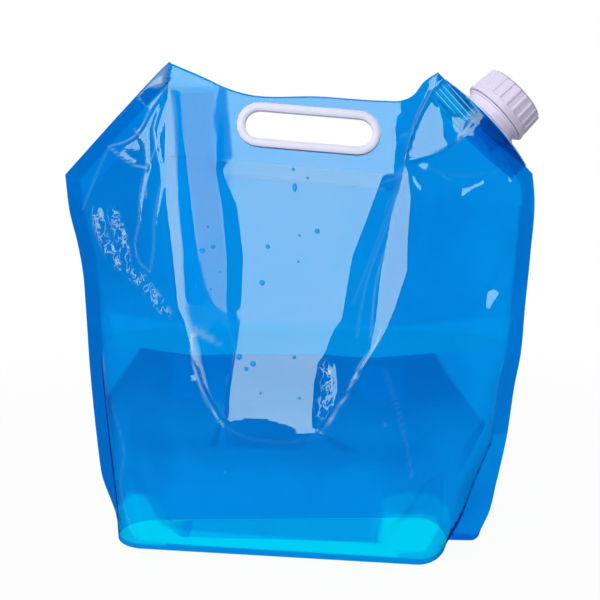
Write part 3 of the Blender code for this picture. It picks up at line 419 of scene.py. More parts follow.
# Handle web and its mouldings
WEB_TILT = math.radians(-4.5)
WEB_LEFT = -53 * MM
WEB_RIGHT = 61 * MM
WEB_SEAL = 4 * MM
WEB_LEAN = math.radians(14)
WEB_ROUNDING = 2 * MM
WEB_BEND_DELAY = 3 * MM
HANDLE_CENTRE_X = 4 * MM
HANDLE_BELOW_EDGE = 21.15 * MM
HANDLE_ABOVE_SEAL = 25.1 * MM
SLOT_LENGTH = 84 * MM
SLOT_HEIGHT = 18.6 * MM
HOLE_OFFSET = 1.7 * MM
HOLE_STEPS = 24

# Right shoulder and the spout's welded foot
SPOUT_LEAN = math.radians(13)
SPOUT_LEAN_START = 14 * MM
SPOUT_LEAN_REACH = 48 * MM
BOAT_HALF_LENGTH = 38.5 * MM
BOAT_HALF_THICKNESS = 19.2 * MM
BOAT_HEIGHT = 12 * MM
BOAT_CLEARANCE = 0.7 * MM
BOAT_TENT_REACH = 50 * MM
RIBS_START = 8 * MM
RIBS_FADE = 3 * MM

# Gusset
GUSSET_END_RISE = 46 * MM
GUSSET_RISE_START_SHARE = 0.60
GUSSET_END_INSET = 2 * MM
GUSSET_COLUMNS = 120
GUSSET_ROWS = 60
GUSSET_CLEARANCE = 1.2 * MM
GUSSET_FLAT_SHARE = 0.86
GUSSET_MIDDLE = -18 * MM
GUSSET_CLEAR_HALF = 76 * MM  # half the length that is bluer, behind the front strip
GUSSET_CLEAR_EDGE = 14 * MM
GUSSET_STRIP_SHARE = 0.42

# Water
WATER_HEIGHT = 135.5 * MM
WATER_GAP = 1.2 * MM
WATER_LEAST_DEPTH = 0.1 * MM
WATER_COLUMNS = 90
WATER_ROWS = 60
WATER_SHADE_HALF = 96 * MM  # half the length that is darker, at the surface
WATER_SHADE_OFFSET = 8 * MM
WATER_SHADE_SPREAD = 0.7
WATER_SHADE_EDGE = 2 * MM
WATER_SHADE_FOOT_SHARE = 0.3
WATER_MIRROR = 0.02
WATER_ROUGHNESS = 0.03

# Film surface
FILM_VALUES = ("ribs", "seal", "painted_light", "dull", "double", "painted_highlight_share", "crumple")
WAVE_HEIGHT = 0.3 * MM
WAVE_SCALE = 34.0
CLOUD_SCALE = 14.0
CLOUD_DISTORTION = 1.6
CLOUD_DEEPER = 0.9  # how much deeper the colour is in one place than in another
TURNED_DEEPER = 0.6  # how much deeper it is where the film turns away
TURNED_POWER = 3.0
MOTTLE_LEAST = 0.75  # of the mirrored light, where the clouds are thinnest
MOTTLE_RANGE = 0.5
# Painted highlights in stripes along the spout foot's ribs: their pitch and sharpness
RIB_PITCH = 3.0 * MM
RIB_HIGHLIGHT_SHARPNESS = 8.0
# Painted highlights: how much of the film they cover, and how much of their light comes through from behind
HIGHLIGHT_COVER = 0.75
HIGHLIGHT_LIT_THROUGH = 0.25
MIRROR_POWER = 5.0
GLOSS_ROUGHNESS = 0.03
GLOSS_UNEVEN_ROUGHNESS = 0.06

# Plastic and drops
PLASTIC_ROUGHNESS = 0.32
PLASTIC_UNEVEN = 0.12
PLASTIC_SHADE = 0.93
PLASTIC_CLOUD_SCALE = 45.0
PLASTIC_GRAIN_SCALE = 900.0
PLASTIC_GRAIN_HEIGHT = 0.2 * MM
LINER_ROUGHNESS = 0.6
# How see-through the spout's foot is under the film: partly its own translucence, partly painted light
BOAT_CLEAR_SHARE = 0.78
DROP_CLOUD_SCALE = 300.0
DROP_ROUGHNESS = 0.08

# Colours; a film's are plain, sealed (also the tint of its painted shade) and painted light
WHITE = (1, 1, 1, 1)
FILM_TINTS = ((0.0, 0.745, 0.975, 1), (0.0, 0.64, 0.90, 1), (0.0, 0.84, 1.0, 1))
# The gusset's plain and light tints are almost clear: painted light at its ends and along its front. Its
# deep tint is the film's blue.
GUSSET_TINTS = ((0.8, 0.99, 1.0, 1), (0.0, 0.74, 0.97, 1), (0.8, 0.99, 1.0, 1))
FOOT_SEAL_TINT = (0.0, 0.54, 0.90, 1)
HAZE_BLUE = (0.0, 0.42, 0.85, 1)
# Painted highlights: bluish where faint, whiter where strong
HIGHLIGHT_BLUE = (0.16, 0.60, 1.0, 1)
HIGHLIGHT_WHITE = (0.72, 0.88, 1.0, 1)
MIRROR_TINT = (1, 0.98, 0.6, 1)
HANDLE_TONE = (0.82, 0.83, 1.0, 1)
SPOUT_TONE = (0.86, 0.80, 1.0, 1)
LINER_TONE = (0.9, 0.9, 0.9, 1)
# Painted shade: the bluish see-through tint of the spout foot's shaded half
BOAT_SHADE_TINT = (0.72, 0.86, 0.99, 1)
WATER_SHADE_TINT = (0.5, 0.6, 0.76, 1)
# Drops: their blue is painted shade, deep and light in a random tone
DROP_DEEP = (0.0, 0.42, 0.90, 1)
DROP_LIGHT = (0.02, 0.55, 1.0, 1)
DROP_TINT = (0.12, 0.70, 1.0, 1)
FLOOR_GREY = (0.85, 0.85, 0.85, 1)
FLOOR_MIRRORED = (0.03, 0.03, 0.03, 1)
WORLD_TINT = (0.94, 0.9, 1.0, 1)

# Floor, camera and light; places are azimuth and elevation in degrees, and distance
FLOOR_SIZE = 12
FLOOR_GLOW_SHARE = 0.95
FLOOR_FADE = (0.3, 0.8)
WORLD_STRENGTH = 0.13
CAMERA_PLACE = (4, 10, 1.10667)
CAMERA_LENS = 100
CAMERA_SENSOR = 36
CAMERA_AIM = Vector((-0.0013, 0, 0.164))

# Each lamp's name, place, width, height and radiance, and whether the film mirrors it
LIGHTS = (
    ("softbox", (-4, 28, 1.5), 0.95, 0.95, 4.0, True),
    ("fill_left", (-60, 40, 1.6), 1.2, 1.2, 3.0, False),
    ("fill_right", (75, 35, 1.6), 1.2, 1.2, 0.08, False),
    ("fill_back", (180, 40, 1.6), 1.4, 1.0, 1.5, False),
)


def scaled(shares):
    """A table of shares of the half width and height, as places."""
    return np.array([(x * BAG_HALF_WIDTH, z * BAG_HEIGHT) for x, z in shares])


def curve_through(points, at):
    """Points of a smooth curve through the given ones, at shares of its length."""
    lengths = np.concatenate([[0], np.cumsum(np.linalg.norm(np.diff(points, axis=0), axis=1))])
    lengths = lengths / lengths[-1]
    slopes = np.gradient(points, lengths, axis=0)
    at = np.clip(np.asarray(at, float), 0, 1)
    i = np.clip(np.searchsorted(lengths, at, side="right") - 1, 0, len(points) - 2)
    span = lengths[i + 1] - lengths[i]
    t = ((at - lengths[i]) / span)[..., None]
    span = span[..., None]
    start = (1 + 2 * t) * (1 - t) ** 2 * points[i] + t * (1 - t) ** 2 * span * slopes[i]
    end = t**2 * (3 - 2 * t) * points[i + 1] + t**2 * (t - 1) * span * slopes[i + 1]
    return start + end


def side_edge(side_shares, peak, rows):
    """The side of the outline at the given rows: a curve up to the corner, then a straight shoulder."""
    side = scaled(side_shares)
    rows = np.asarray(rows, float)
    low = curve_through(side, rows / CORNER_ROW_SHARE)
    t = np.clip((rows - CORNER_ROW_SHARE) / (1 - CORNER_ROW_SHARE), 0, 1)[..., None]
    high = side[-1] * (1 - t) + peak * t
    return np.where(rows[..., None] < CORNER_ROW_SHARE, low, high)


TOP_EDGE = scaled(TOP_EDGE_SHARES)
LEFT_PEAK, RIGHT_PEAK = TOP_EDGE[0], TOP_EDGE[-1]
LEFT_CORNER, RIGHT_CORNER = scaled(LEFT_SIDE_SHARES)[-1], scaled(RIGHT_SIDE_SHARES)[-1]


def outline_point(across, up):
    """A place in the outline, for shares across from the left and up from the foot."""
    left = side_edge(LEFT_SIDE_SHARES, LEFT_PEAK, up)
    right = side_edge(RIGHT_SIDE_SHARES, RIGHT_PEAK, up)
    across = np.asarray(across, float)[..., None]
    row = left * (1 - across) + right * across
    straight = LEFT_PEAK * (1 - across) + RIGHT_PEAK * across
    dip = curve_through(TOP_EDGE, across[..., 0]) - straight
    return row + np.asarray(up, float)[..., None] * dip


def top_height(x):
    return np.interp(x, TOP_EDGE[:, 0], TOP_EDGE[:, 1])


HANDLE_HEIGHT = float(top_height(HANDLE_CENTRE_X)) - HANDLE_BELOW_EDGE


def web_foot(x):
    """Height of the seal line under the handle."""
    return HANDLE_HEIGHT - HANDLE_ABOVE_SEAL + (x - HANDLE_CENTRE_X) * math.tan(WEB_TILT)


def seal_path():
    """The line that the pouch's seals follow, from the left foot round the web to the right foot."""
    rows = np.linspace(0, 1, SEAL_STEPS)
    left = side_edge(LEFT_SIDE_SHARES, LEFT_PEAK, rows)
    right = side_edge(RIGHT_SIDE_SHARES, RIGHT_PEAK, rows)
    left_top = [p for p in TOP_EDGE if p[0] < WEB_LEFT]
    right_top = [p for p in TOP_EDGE if p[0] > WEB_RIGHT]
    web = [
        (WEB_LEFT, top_height(WEB_LEFT)),
        (WEB_LEFT, web_foot(WEB_LEFT)),
        (WEB_RIGHT, web_foot(WEB_RIGHT)),
        (WEB_RIGHT, top_height(WEB_RIGHT)),
    ]
    return np.array([*left, *left_top, *web, *right_top, *right[::-1]])


def distance_to_path(x, z, path):
    """How far each place lies from a line of points."""
    best = np.full(np.shape(x), np.inf)
    for (x0, z0), (x1, z1) in zip(path[:-1], path[1:]):
        length = (x1 - x0) ** 2 + (z1 - z0) ** 2
        if length == 0:
            continue
        t = np.clip(((x - x0) * (x1 - x0) + (z - z0) * (z1 - z0)) / length, 0, 1)
        best = np.minimum(best, np.hypot(x - x0 - t * (x1 - x0), z - z0 - t * (z1 - z0)))
    return best


SEAL_PATH = seal_path()
OUTLINE_ROWS = np.linspace(0, 1, SEAL_STEPS)
OUTLINE_PATH = np.vstack(
    [
        side_edge(LEFT_SIDE_SHARES, LEFT_PEAK, OUTLINE_ROWS),
        TOP_EDGE[1:-1],
        side_edge(RIGHT_SIDE_SHARES, RIGHT_PEAK, OUTLINE_ROWS)[::-1],
    ]
)
SLOPE = (RIGHT_PEAK - RIGHT_CORNER) / np.linalg.norm(RIGHT_PEAK - RIGHT_CORNER)
OUTWARD = np.array([SLOPE[1], -SLOPE[0]])
SPOUT_FOOT = (RIGHT_PEAK + RIGHT_CORNER) / 2
LEAN_SHARE = math.cos(SPOUT_LEAN)
SPOUT_AXIS = (OUTWARD[0] * LEAN_SHARE, math.sin(SPOUT_LEAN), OUTWARD[1] * LEAN_SHARE)


def along_and_inside(x, z):
    """How far along the right shoulder from the spout, and how far inside its edge."""
    dx, dz = x - SPOUT_FOOT[0], z - SPOUT_FOOT[1]
    return dx * SLOPE[0] + dz * SLOPE[1], -(dx * OUTWARD[0] + dz * OUTWARD[1])


def eased(share):
    share = np.clip(share, 0, 1)
    return share * share * (3 - 2 * share)


def bent(reach, bend):
    """How far a sheet has moved out, this far past the start of a bend of this length, for a slope of 1."""
    reach = np.clip(reach, 0, None)
    return np.where(reach > bend, reach - bend / 2, reach**2 / (2 * bend))


def seal_plane(x, z):
    """Where the seals lie from front to back: the handle web and the right shoulder lean back."""
    _, inside = along_and_inside(x, z)
    shoulder = math.tan(SPOUT_LEAN) * bent(SPOUT_LEAN_REACH - inside, SPOUT_LEAN_REACH - SPOUT_LEAN_START)
    web = math.tan(WEB_LEAN) * bent(z - web_foot(x) + WEB_SEAL - WEB_BEND_DELAY, WEB_ROUNDING)
    web = web * np.clip((x - LEFT_CORNER[0]) / (LEFT_PEAK[0] - LEFT_CORNER[0]), 0, 1) ** 3
    fade = eased((x - WEB_RIGHT) / (RIGHT_PEAK[0] - WEB_RIGHT))
    return web * (1 - fade) + shoulder * fade


def seal_normal(x, z):
    """The direction square to the seals, towards the front."""
    across = (seal_plane(x + PROBE, z) - seal_plane(x - PROBE, z)) / (2 * PROBE)
    up = (seal_plane(x, z + PROBE) - seal_plane(x, z - PROBE)) / (2 * PROBE)
    normal = np.stack([across, -np.ones_like(across), up], axis=-1)
    return normal / np.linalg.norm(normal, axis=-1, keepdims=True)


def seal_distance(x, z):
    """How far inside the seals a place lies; negative on a seal."""
    fin = FOOT_FIN_WIDTH * np.clip(1 - z / FOOT_FIN_HEIGHT, 0, 1) * (x > 0)
    return distance_to_path(x, z, SEAL_PATH) - SEAL_WIDTH - fin


def in_web(x, z):
    return (x > WEB_LEFT) & (x < WEB_RIGHT) & (z > web_foot(x))


def pillow_depth(x, z, depth_shares, side_rounding):
    """Depth of the round pouch with no dent."""
    high = z / BAG_HEIGHT
    table = np.array(depth_shares)
    depth = BELLY_DEPTH * np.interp(high, table[:, 0], table[:, 1])
    rise = eased(high / ROUNDING_RISE_SHARE)
    skew = FOOT_SKEW_SHARE + (BELLY_SKEW_SHARE - FOOT_SKEW_SHARE) * rise
    depth = depth * (1 + skew * x / BAG_HALF_WIDTH)
    rounding = FOOT_ROUNDING + (side_rounding - FOOT_ROUNDING) * rise
    edge = np.clip(np.where(in_web(x, z), 0, seal_distance(x, z)) / rounding, 0, 1)
    return depth * np.sqrt(1 - (1 - edge) ** 2)


def boat_depth(x, z):
    """Depth of the film where it is stretched over the spout's welded foot."""
    along, inside = along_and_inside(x, z)
    lens = BOAT_HALF_THICKNESS * (1 - (along / BOAT_HALF_LENGTH) ** 2)
    past = np.clip((inside - BOAT_HEIGHT) / BOAT_TENT_REACH, 0, 1)
    return (np.clip(lens, 0, None) + BOAT_CLEARANCE * (lens > 0)) * (1 - eased(past))


def line_at(shares, z, unit):
    """A crease's place, or a ridge's depth, at the given heights."""
    table = np.array(shares)
    return unit * np.interp(z / BAG_HEIGHT, table[:, 0], table[:, 1])


def lip_height(x):
    """Height of the dent's lower lip."""
    table = np.array(LIP_SHARES)
    return BAG_HEIGHT * np.interp(x / BAG_HALF_WIDTH, table[:, 0], table[:, 1])


def left_ridge_depth(x, z):
    """Depth of the left ridge: from its table, and straight up from there to the tip, which leans back."""
    above = z - LEFT_RISE_START_SHARE * BAG_HEIGHT
    leaning = LEFT_RISE_START_DEPTH - LEFT_RISE_LEAN * above + seal_plane(x, z)
    low = line_at(LEFT_RIDGE_DEPTH_SHARES, z, BELLY_DEPTH)
    return np.where(above > 0, np.clip(leaning, 0, None), low)


def pane_depth(x, z):
    """Depth of the sunken pane: straight from the dent's lip up to the foot of the web."""
    lip = lip_height(x)
    top = web_foot(x) - WEB_SEAL + WEB_BEND_DELAY + WEB_ROUNDING / 2
    below = bent(top + WEB_ROUNDING / 2 - z, WEB_ROUNDING)
    return line_at(FRONT_DEPTH_SHARES, lip, BELLY_DEPTH) * np.clip(below / (top - lip), 0, 1)


def crease_depths(x, z, lines):
    """Depth of the film on each crease line, from the left ridge down to the pane and up to the right."""
    left_ridge, pane = left_ridge_depth(x, z), pane_depth(x, z)
    right_ridge = line_at(RIGHT_RIDGE_DEPTH_SHARES, z, BELLY_DEPTH)
    left_drops = (GENTLE_SHARE, STEEP_SHARE, GENTLE_SHARE, STEEP_SHARE)
    least = STRIPE_LEAST_WIDTH * eased((z / BAG_HEIGHT - STRIPE_LEAST_START) / STRIPE_LEAST_RISE)
    leasts = (0.0, least, 0.0, least)
    left_widths = [
        w * np.maximum(b - a, narrowest) for w, narrowest, a, b in zip(left_drops, leasts, lines, lines[1:])
    ]
    total = sum(left_widths)
    depths = [left_ridge]
    for width in left_widths:
        depths.append(depths[-1] + (pane - left_ridge) * width / total)
    return [*depths, pane, right_ridge, right_ridge]


def facet_depth(x, z):
    """Depth of the sunken front film: flat facets between the creases, and a roof down to each side."""
    lines = [line_at(shares, z, BAG_HALF_WIDTH) for shares in CREASE_LINES]
    depths = crease_depths(x, z, lines)
    result = np.where(x < lines[0], depths[0], depths[-1])
    for a, b, da, db in zip(lines, lines[1:], depths, depths[1:]):
        t = np.clip((x - a) / np.maximum(b - a, PROBE), 0, 1)
        result = np.where((x >= a) & (x <= b), da + (db - da) * t, result)
    edge = np.clip(distance_to_path(x, z, OUTLINE_PATH) - SEAL_WIDTH, 0, None)
    past = np.maximum(lines[0] - x, x - lines[-1])
    ruled = edge / np.maximum(edge + past, PROBE)
    straight = eased((z / BAG_HEIGHT - ROUND_SHARE) / (STRAIGHT_SHARE - ROUND_SHARE))
    ruled = straight * ruled + (1 - straight) * np.sqrt(np.clip(1 - (1 - ruled) ** 2, 0, 1))
    return result * np.where(past > 0, ruled, np.minimum(edge / TOP_TURN, 1))


def inside_outline(x, z, outline):
    """How far inside a closed outline each place lies; negative outside."""
    closed = np.vstack([outline, outline[:1]])
    within = np.zeros(np.shape(x), bool)
    for (x0, z0), (x1, z1) in zip(closed[:-1], closed[1:]):
        crosses = (z0 > z) != (z1 > z)
        rise = z1 - z0 if z1 != z0 else 1.0
        within ^= crosses & (x < x0 + (z - z0) / rise * (x1 - x0))
    return distance_to_path(x, z, closed) * np.where(within, 1, -1)


def fold_relief(x, z):
    """Height of the sharp folds over the facets."""
    relief = np.zeros_like(x)
    for height, half_width, shares in FOLDS:
        away = distance_to_path(x, z, scaled(shares)) / (half_width * MM)
        relief += height * MM * np.clip(1 - away, 0, 1)
    return relief


def crumple_share(x, z):
    share = np.zeros_like(x)
    for radius, shares in CRUMPLES:
        away = distance_to_path(x, z, scaled(shares)) / radius
        share = np.maximum(share, eased(SOFT_SPREAD * (1 - away)))
    return share


def crumple_relief(x, z):
    """Height of the crumpled stretches: sharp-edged noise."""
    share = crumple_share(x, z)
    relief = np.zeros_like(x)
    for place in zip(*np.nonzero(share)):
        point = Vector((x[place] / CRUMPLE_SIZE, 0, z[place] / CRUMPLE_SIZE))
        fine = 1 - 2 * abs(noise.noise(point * CRUMPLE_FINE_SCALE))
        ridge = 1 - 2 * abs(noise.noise(point)) + CRUMPLE_FINE_SHARE * fine
        relief[place] = CRUMPLE_HEIGHT * ridge * share[place]
    return relief


def with_facets(x, z, depth):
    """Flattens the depth inside each small facet, so that it leans back alike all over."""
    plane = seal_plane(x, z)
    for shares in FACETS:
        outline = scaled(shares)
        middle_x, middle_z = outline.mean(axis=0)
        nearest = np.unravel_index(np.argmin(np.hypot(x - middle_x, z - middle_z)), x.shape)
        level = plane[nearest] - depth[nearest] + FACET_LEAN * (z - z[nearest])
        within = inside_outline(x, z, outline)
        flat = plane - level
        flat = flat - min(0, flat[within > 0].min())
        share = eased(within / FACET_EDGE + 0.5)
        depth = depth * (1 - share) + flat * share
    return depth


def highlight_line_share(x, z):
    """Painted highlights: pale lines along the sharp folds."""
    share = np.zeros_like(x)
    for strength, shares in HIGHLIGHT_LINES:
        path = curve_through(scaled(shares), np.linspace(0, 1, HIGHLIGHT_LINE_STEPS))
        away = distance_to_path(x, z, path) / HIGHLIGHT_LINE_HALF_WIDTH
        share = np.maximum(share, strength * np.clip(1 - away, 0, 1))
    return share


def patch_share(x, z, patches, edge):
    """The strongest of some patches at each place."""
    share = np.zeros_like(x)
    for strength, shares in patches:
        within = inside_outline(x, z, scaled(shares))
        share = np.maximum(share, strength * eased(within / edge + 0.5))
    return share


def painted_shade_share(x, z):
    """Painted shade: how much deeper the film's colour is painted than its plain tint, in soft round
    places.
    """
    share = np.zeros_like(x)
    for strength, (mid_x, mid_z), (half_x, half_z) in PAINTED_SHADE_PATCHES:
        out = np.hypot((x / BAG_HALF_WIDTH - mid_x) / half_x, (z / BAG_HEIGHT - mid_z) / half_z)
        share = share + strength * eased(SOFT_SPREAD - out)
    return share


def lit_rib_share(x, z):
    """Where the film lies over the ribs of the spout's foot, on its left half, the lit one: painted light
    and painted highlights go there.
    """
    along, inside = along_and_inside(x, z)
    lengthways = eased((along - RIBS_START) / RIBS_FADE) * eased((BOAT_HALF_LENGTH - along) / RIBS_FADE)
    return lengthways * (inside < BOAT_HEIGHT + BOAT_CLEARANCE) * (inside > 0)


def side_edge_x(side_shares, peak, z):
    rows = np.linspace(0, 1, EDGE_STEPS)
    edge = side_edge(side_shares, peak, rows)
    return np.interp(z, edge[:, 1], edge[:, 0])


def front_depth(x, z):
    """Depth of the front film's inner face: the round belly below, and facets above the dent's lip."""
    pillow = pillow_depth(x, z, FRONT_DEPTH_SHARES, FRONT_SIDE_ROUNDING)
    facets = facet_depth(x, z)
    left = line_at(LEFT_RIDGE_SHARES, z, BAG_HALF_WIDTH)
    right = line_at(RIGHT_STRIP_SHARES, z, BAG_HALF_WIDTH)
    in_dent = (x > left) & (x < right) & (z > lip_height(x))
    high = z / BAG_HEIGHT
    shoulder = eased((high - SHOULDER_START_SHARE) / (SHOULDER_END_SHARE - SHOULDER_START_SHARE))
    share = np.where(in_dent, 1.0, shoulder)
    facets = np.where(in_web(x, z), 0, facets)
    return pillow * (1 - share) + facets * share


def column_stops(line_x, z_of):
    """Where a row crosses the seals' inner edges and the creases, with a little room between them."""
    stops = [line_x[0], line_x[0] + SEAL_WIDTH]
    for shares in CREASE_LINES:
        x = 0.0
        for _ in range(CREASE_TRIES):
            x = float(line_at(shares, z_of(x), BAG_HALF_WIDTH))
        stops.append(x)
    stops += [line_x[-1] - SEAL_WIDTH, line_x[-1]]
    least = np.arange(len(stops)) * COLUMN_GAP
    return np.minimum(np.maximum.accumulate(stops - least) + least, line_x[-1] - least[-1] + least)


def foot_shaped(x, z):
    """Draws in the left foot, and rounds the right one's corner."""
    tucked = eased((FOOT_TUCK_START - x) / (FOOT_TUCK_START - FOOT_TUCK_END))
    tucked = eased(1 - z / FOOT_TUCK_HEIGHT) * tucked
    from_corner = np.clip(1 - (RIGHT_FOOT_X - x) / FOOT_CORNER_RADIUS, 0, 1)
    lift = FOOT_CORNER_RADIUS * (1 - np.sqrt(1 - from_corner**2))
    z = z + lift * np.clip(1 - z / FOOT_TUCK_HEIGHT, 0, 1)
    return x + FOOT_TUCK * tucked, np.maximum(z, FOOT_LIFT)


def panel_places():
    """X and Z of each of a panel's grid points. The columns follow the front's creases."""
    low = np.linspace(0, CORNER_ROW_SHARE, round(ROWS * ROWS_BELOW_CORNER_SHARE))
    up = np.concatenate([low, np.linspace(CORNER_ROW_SHARE, 1, ROWS - len(low) + 1)[1:]])
    fine = np.linspace(0, 1, ROW_STEPS)
    xs, zs = [], []
    for row in up:
        place = outline_point(fine, np.full_like(fine, row))
        line_x, line_z = place[:, 0], place[:, 1]
        z_of = lambda x: np.interp(x, line_x, line_z)
        stops = column_stops(line_x, z_of)
        parts = [np.linspace(a, b, n + 1)[:-1] for a, b, n in zip(stops, stops[1:], SECTION_COLUMNS)]
        x_row = np.concatenate([*parts, stops[-1:]])
        xs.append(x_row)
        zs.append(z_of(x_row))
    return foot_shaped(np.array(xs), np.array(zs))


def panel_points(x, z, front):
    """The grid of a panel's inner face."""
    if front:
        pouch = with_facets(x, z, np.maximum(front_depth(x, z), boat_depth(x, z)))
        inner = eased(seal_distance(x, z) / EDGE_TURN)
        pouch = pouch + (fold_relief(x, z) + crumple_relief(x, z)) * inner
    else:
        pouch = pillow_depth(x, z, BACK_DEPTH_SHARES, BACK_SIDE_ROUNDING)
        pouch = np.maximum(pouch, boat_depth(x, z))
    depth = FILM_GAP / 2 + np.clip(pouch, 0, None)
    side = 1 if front else -1
    return np.stack([x, seal_plane(x, z), z], axis=-1) + side * depth[..., None] * seal_normal(x, z)


def seal_share(x, z):
    """How much of the seals' deep colour each place has."""
    under_top = (x > LEFT_PEAK[0]) & (x < RIGHT_PEAK[0])
    sealed = (seal_distance(x, z) < 0) & ~in_web(x, z) & ~(under_top & (z > web_foot(x)))
    right_share = np.where(z < FOOT_FIN_HEIGHT, RIGHT_FIN_SEAL_SHARE, RIGHT_SEAL_SHARE)
    seal = sealed * np.where(x > 0, right_share, 1.0)
    under_web = under_top & (z > web_foot(x) - SEAL_WIDTH)
    return np.where(under_web, WEB_BAND_SHARE * sealed, seal)


def panel_values(x, z, front):
    """What a panel's material reads at each grid point."""
    ribs, seal = lit_rib_share(x, z), seal_share(x, z)
    # Painted light: the lit half of the spout's foot, and the painted light patches
    painted_light = np.maximum(ribs, patch_share(x, z, PAINTED_LIGHT_PATCHES if front else BACK_PAINTED_LIGHT_PATCHES, PAINTED_LIGHT_EDGE))
    dull, painted_highlight_share, crumple = np.zeros_like(x), np.zeros_like(x), np.zeros_like(x)
    if front:
        # The seal value also carries painted shade: the painted shade patches, and the shade painted under
        # the mirrored strips and pane
        seal = seal + painted_shade_share(x, z) + patch_share(x, z, SHADE_UNDER_SHEEN_PATCHES, STRIPE_EDGE)
        lost = patch_share(x, z, DULL_PATCHES, STRIPE_EDGE)
        dull = np.maximum(lost, PAINTED_LIGHT_DULL_SHARE * painted_light) - patch_share(x, z, SHINY_PATCHES, STRIPE_EDGE)
        # Painted highlights: pale lines along the folds, and pale patches
        painted_highlight_share = np.maximum(highlight_line_share(x, z), patch_share(x, z, HIGHLIGHT_PATCHES, STRIPE_EDGE))
        crumple = crumple_share(x, z)
    double = (front & (z < FOOT_SEAL_HEIGHT)).astype(float)
    values = {"seal": seal * (1 - painted_light), "painted_light": painted_light, "ribs": ribs, "dull": dull}
    return values | {"painted_highlight_share": painted_highlight_share, "crumple": crumple, "double": double}


def linked(name, data):
    """A new object, in the scene."""
    obj = bpy.data.objects.new(name, data)
    bpy.context.scene.collection.objects.link(obj)
    return obj


def grid_mesh(name, points, values):
    """A sheet through a grid of points, with named values at each for its material."""
    rows, columns = points.shape[:2]
    faces = [
        (r * columns + c, r * columns + c + 1, (r + 1) * columns + c + 1, (r + 1) * columns + c)
        for r in range(rows - 1)
        for c in range(columns - 1)
    ]
    mesh = bpy.data.meshes.new(name)
    mesh.from_pydata([tuple(p) for p in points.reshape(-1, 3)], [], faces)
    for key, shares in values.items():
        layer = mesh.attributes.new(key, "FLOAT", "POINT")
        layer.data.foreach_set("value", shares.astype(np.float32).ravel())
    mesh.shade_smooth()
    return linked(name, mesh)


SPOUT_BASE = (SPOUT_FOOT[0], float(seal_plane(*SPOUT_FOOT)), SPOUT_FOOT[1])


def finished(obj, finish, side=1.0):
    """Thickens a sheet along its normals (side 1) or against them (side -1), and gives it its material."""
    solid = obj.modifiers.new("thickness", "SOLIDIFY")
    solid.thickness = FILM_THICKNESS
    solid.offset = side
    solid.use_even_offset = False
    graph = bpy.context.evaluated_depsgraph_get()
    made = bpy.data.meshes.new_from_object(obj.evaluated_get(graph))
    obj.modifiers.clear()
    obj.data = made
    made.materials.append(finish)
    return obj


def web_matrix():
    """The handle's frame: X along the slot, Y square through the web, its origin in the slot's middle."""
    along = Vector((math.cos(WEB_TILT), 0, math.sin(WEB_TILT)))
    through = -Vector(seal_normal(np.array(HANDLE_CENTRE_X), np.array(HANDLE_HEIGHT)))
    turned = Matrix((along, through, along.cross(through))).transposed().to_4x4()
    middle = Vector((HANDLE_CENTRE_X, float(seal_plane(HANDLE_CENTRE_X, HANDLE_HEIGHT)), HANDLE_HEIGHT))
    return Matrix.Translation(middle) @ turned


def slot_loop():
    """The oblong outline of the hole for the hand slot, as X and Z in the handle's frame."""
    radius = SLOT_HEIGHT / 2 + HOLE_OFFSET
    half = SLOT_LENGTH / 2 - SLOT_HEIGHT / 2
    turns = np.linspace(-math.pi / 2, math.pi / 2, HOLE_STEPS + 1)
    right = [(half + radius * math.cos(t), radius * math.sin(t)) for t in turns]
    return np.array(right + [(-x, -z) for x, z in right])


def open_slot(obj):
    """Removes the film inside the hand slot and fits its edge to the slot's outline."""
    loop = slot_loop()
    place = web_matrix()
    back = place.inverted()
    bm = bmesh.new()
    bm.from_mesh(obj.data)
    centres = np.array([back @ face.calc_center_median() for face in bm.faces])
    within = inside_outline(centres[:, 0], centres[:, 2], loop) > 0
    gone = [face for face, hit in zip(bm.faces, within) if hit]
    edge = {v for face in gone for v in face.verts}
    bmesh.ops.delete(bm, geom=gone, context="FACES")
    spans = np.roll(loop, -1, axis=0) - loop
    for v in edge:
        if not v.is_valid or not v.is_boundary:
            continue
        local = back @ v.co
        here = np.array((local.x, local.z))
        t = np.clip(((here - loop) * spans).sum(1) / (spans**2).sum(1), 0, 1)
        near = loop + t[:, None] * spans
        local.x, local.z = near[np.argmin(np.hypot(*(near - here).T))]
        v.co = place @ local
    bm.to_mesh(obj.data)
    bm.free()


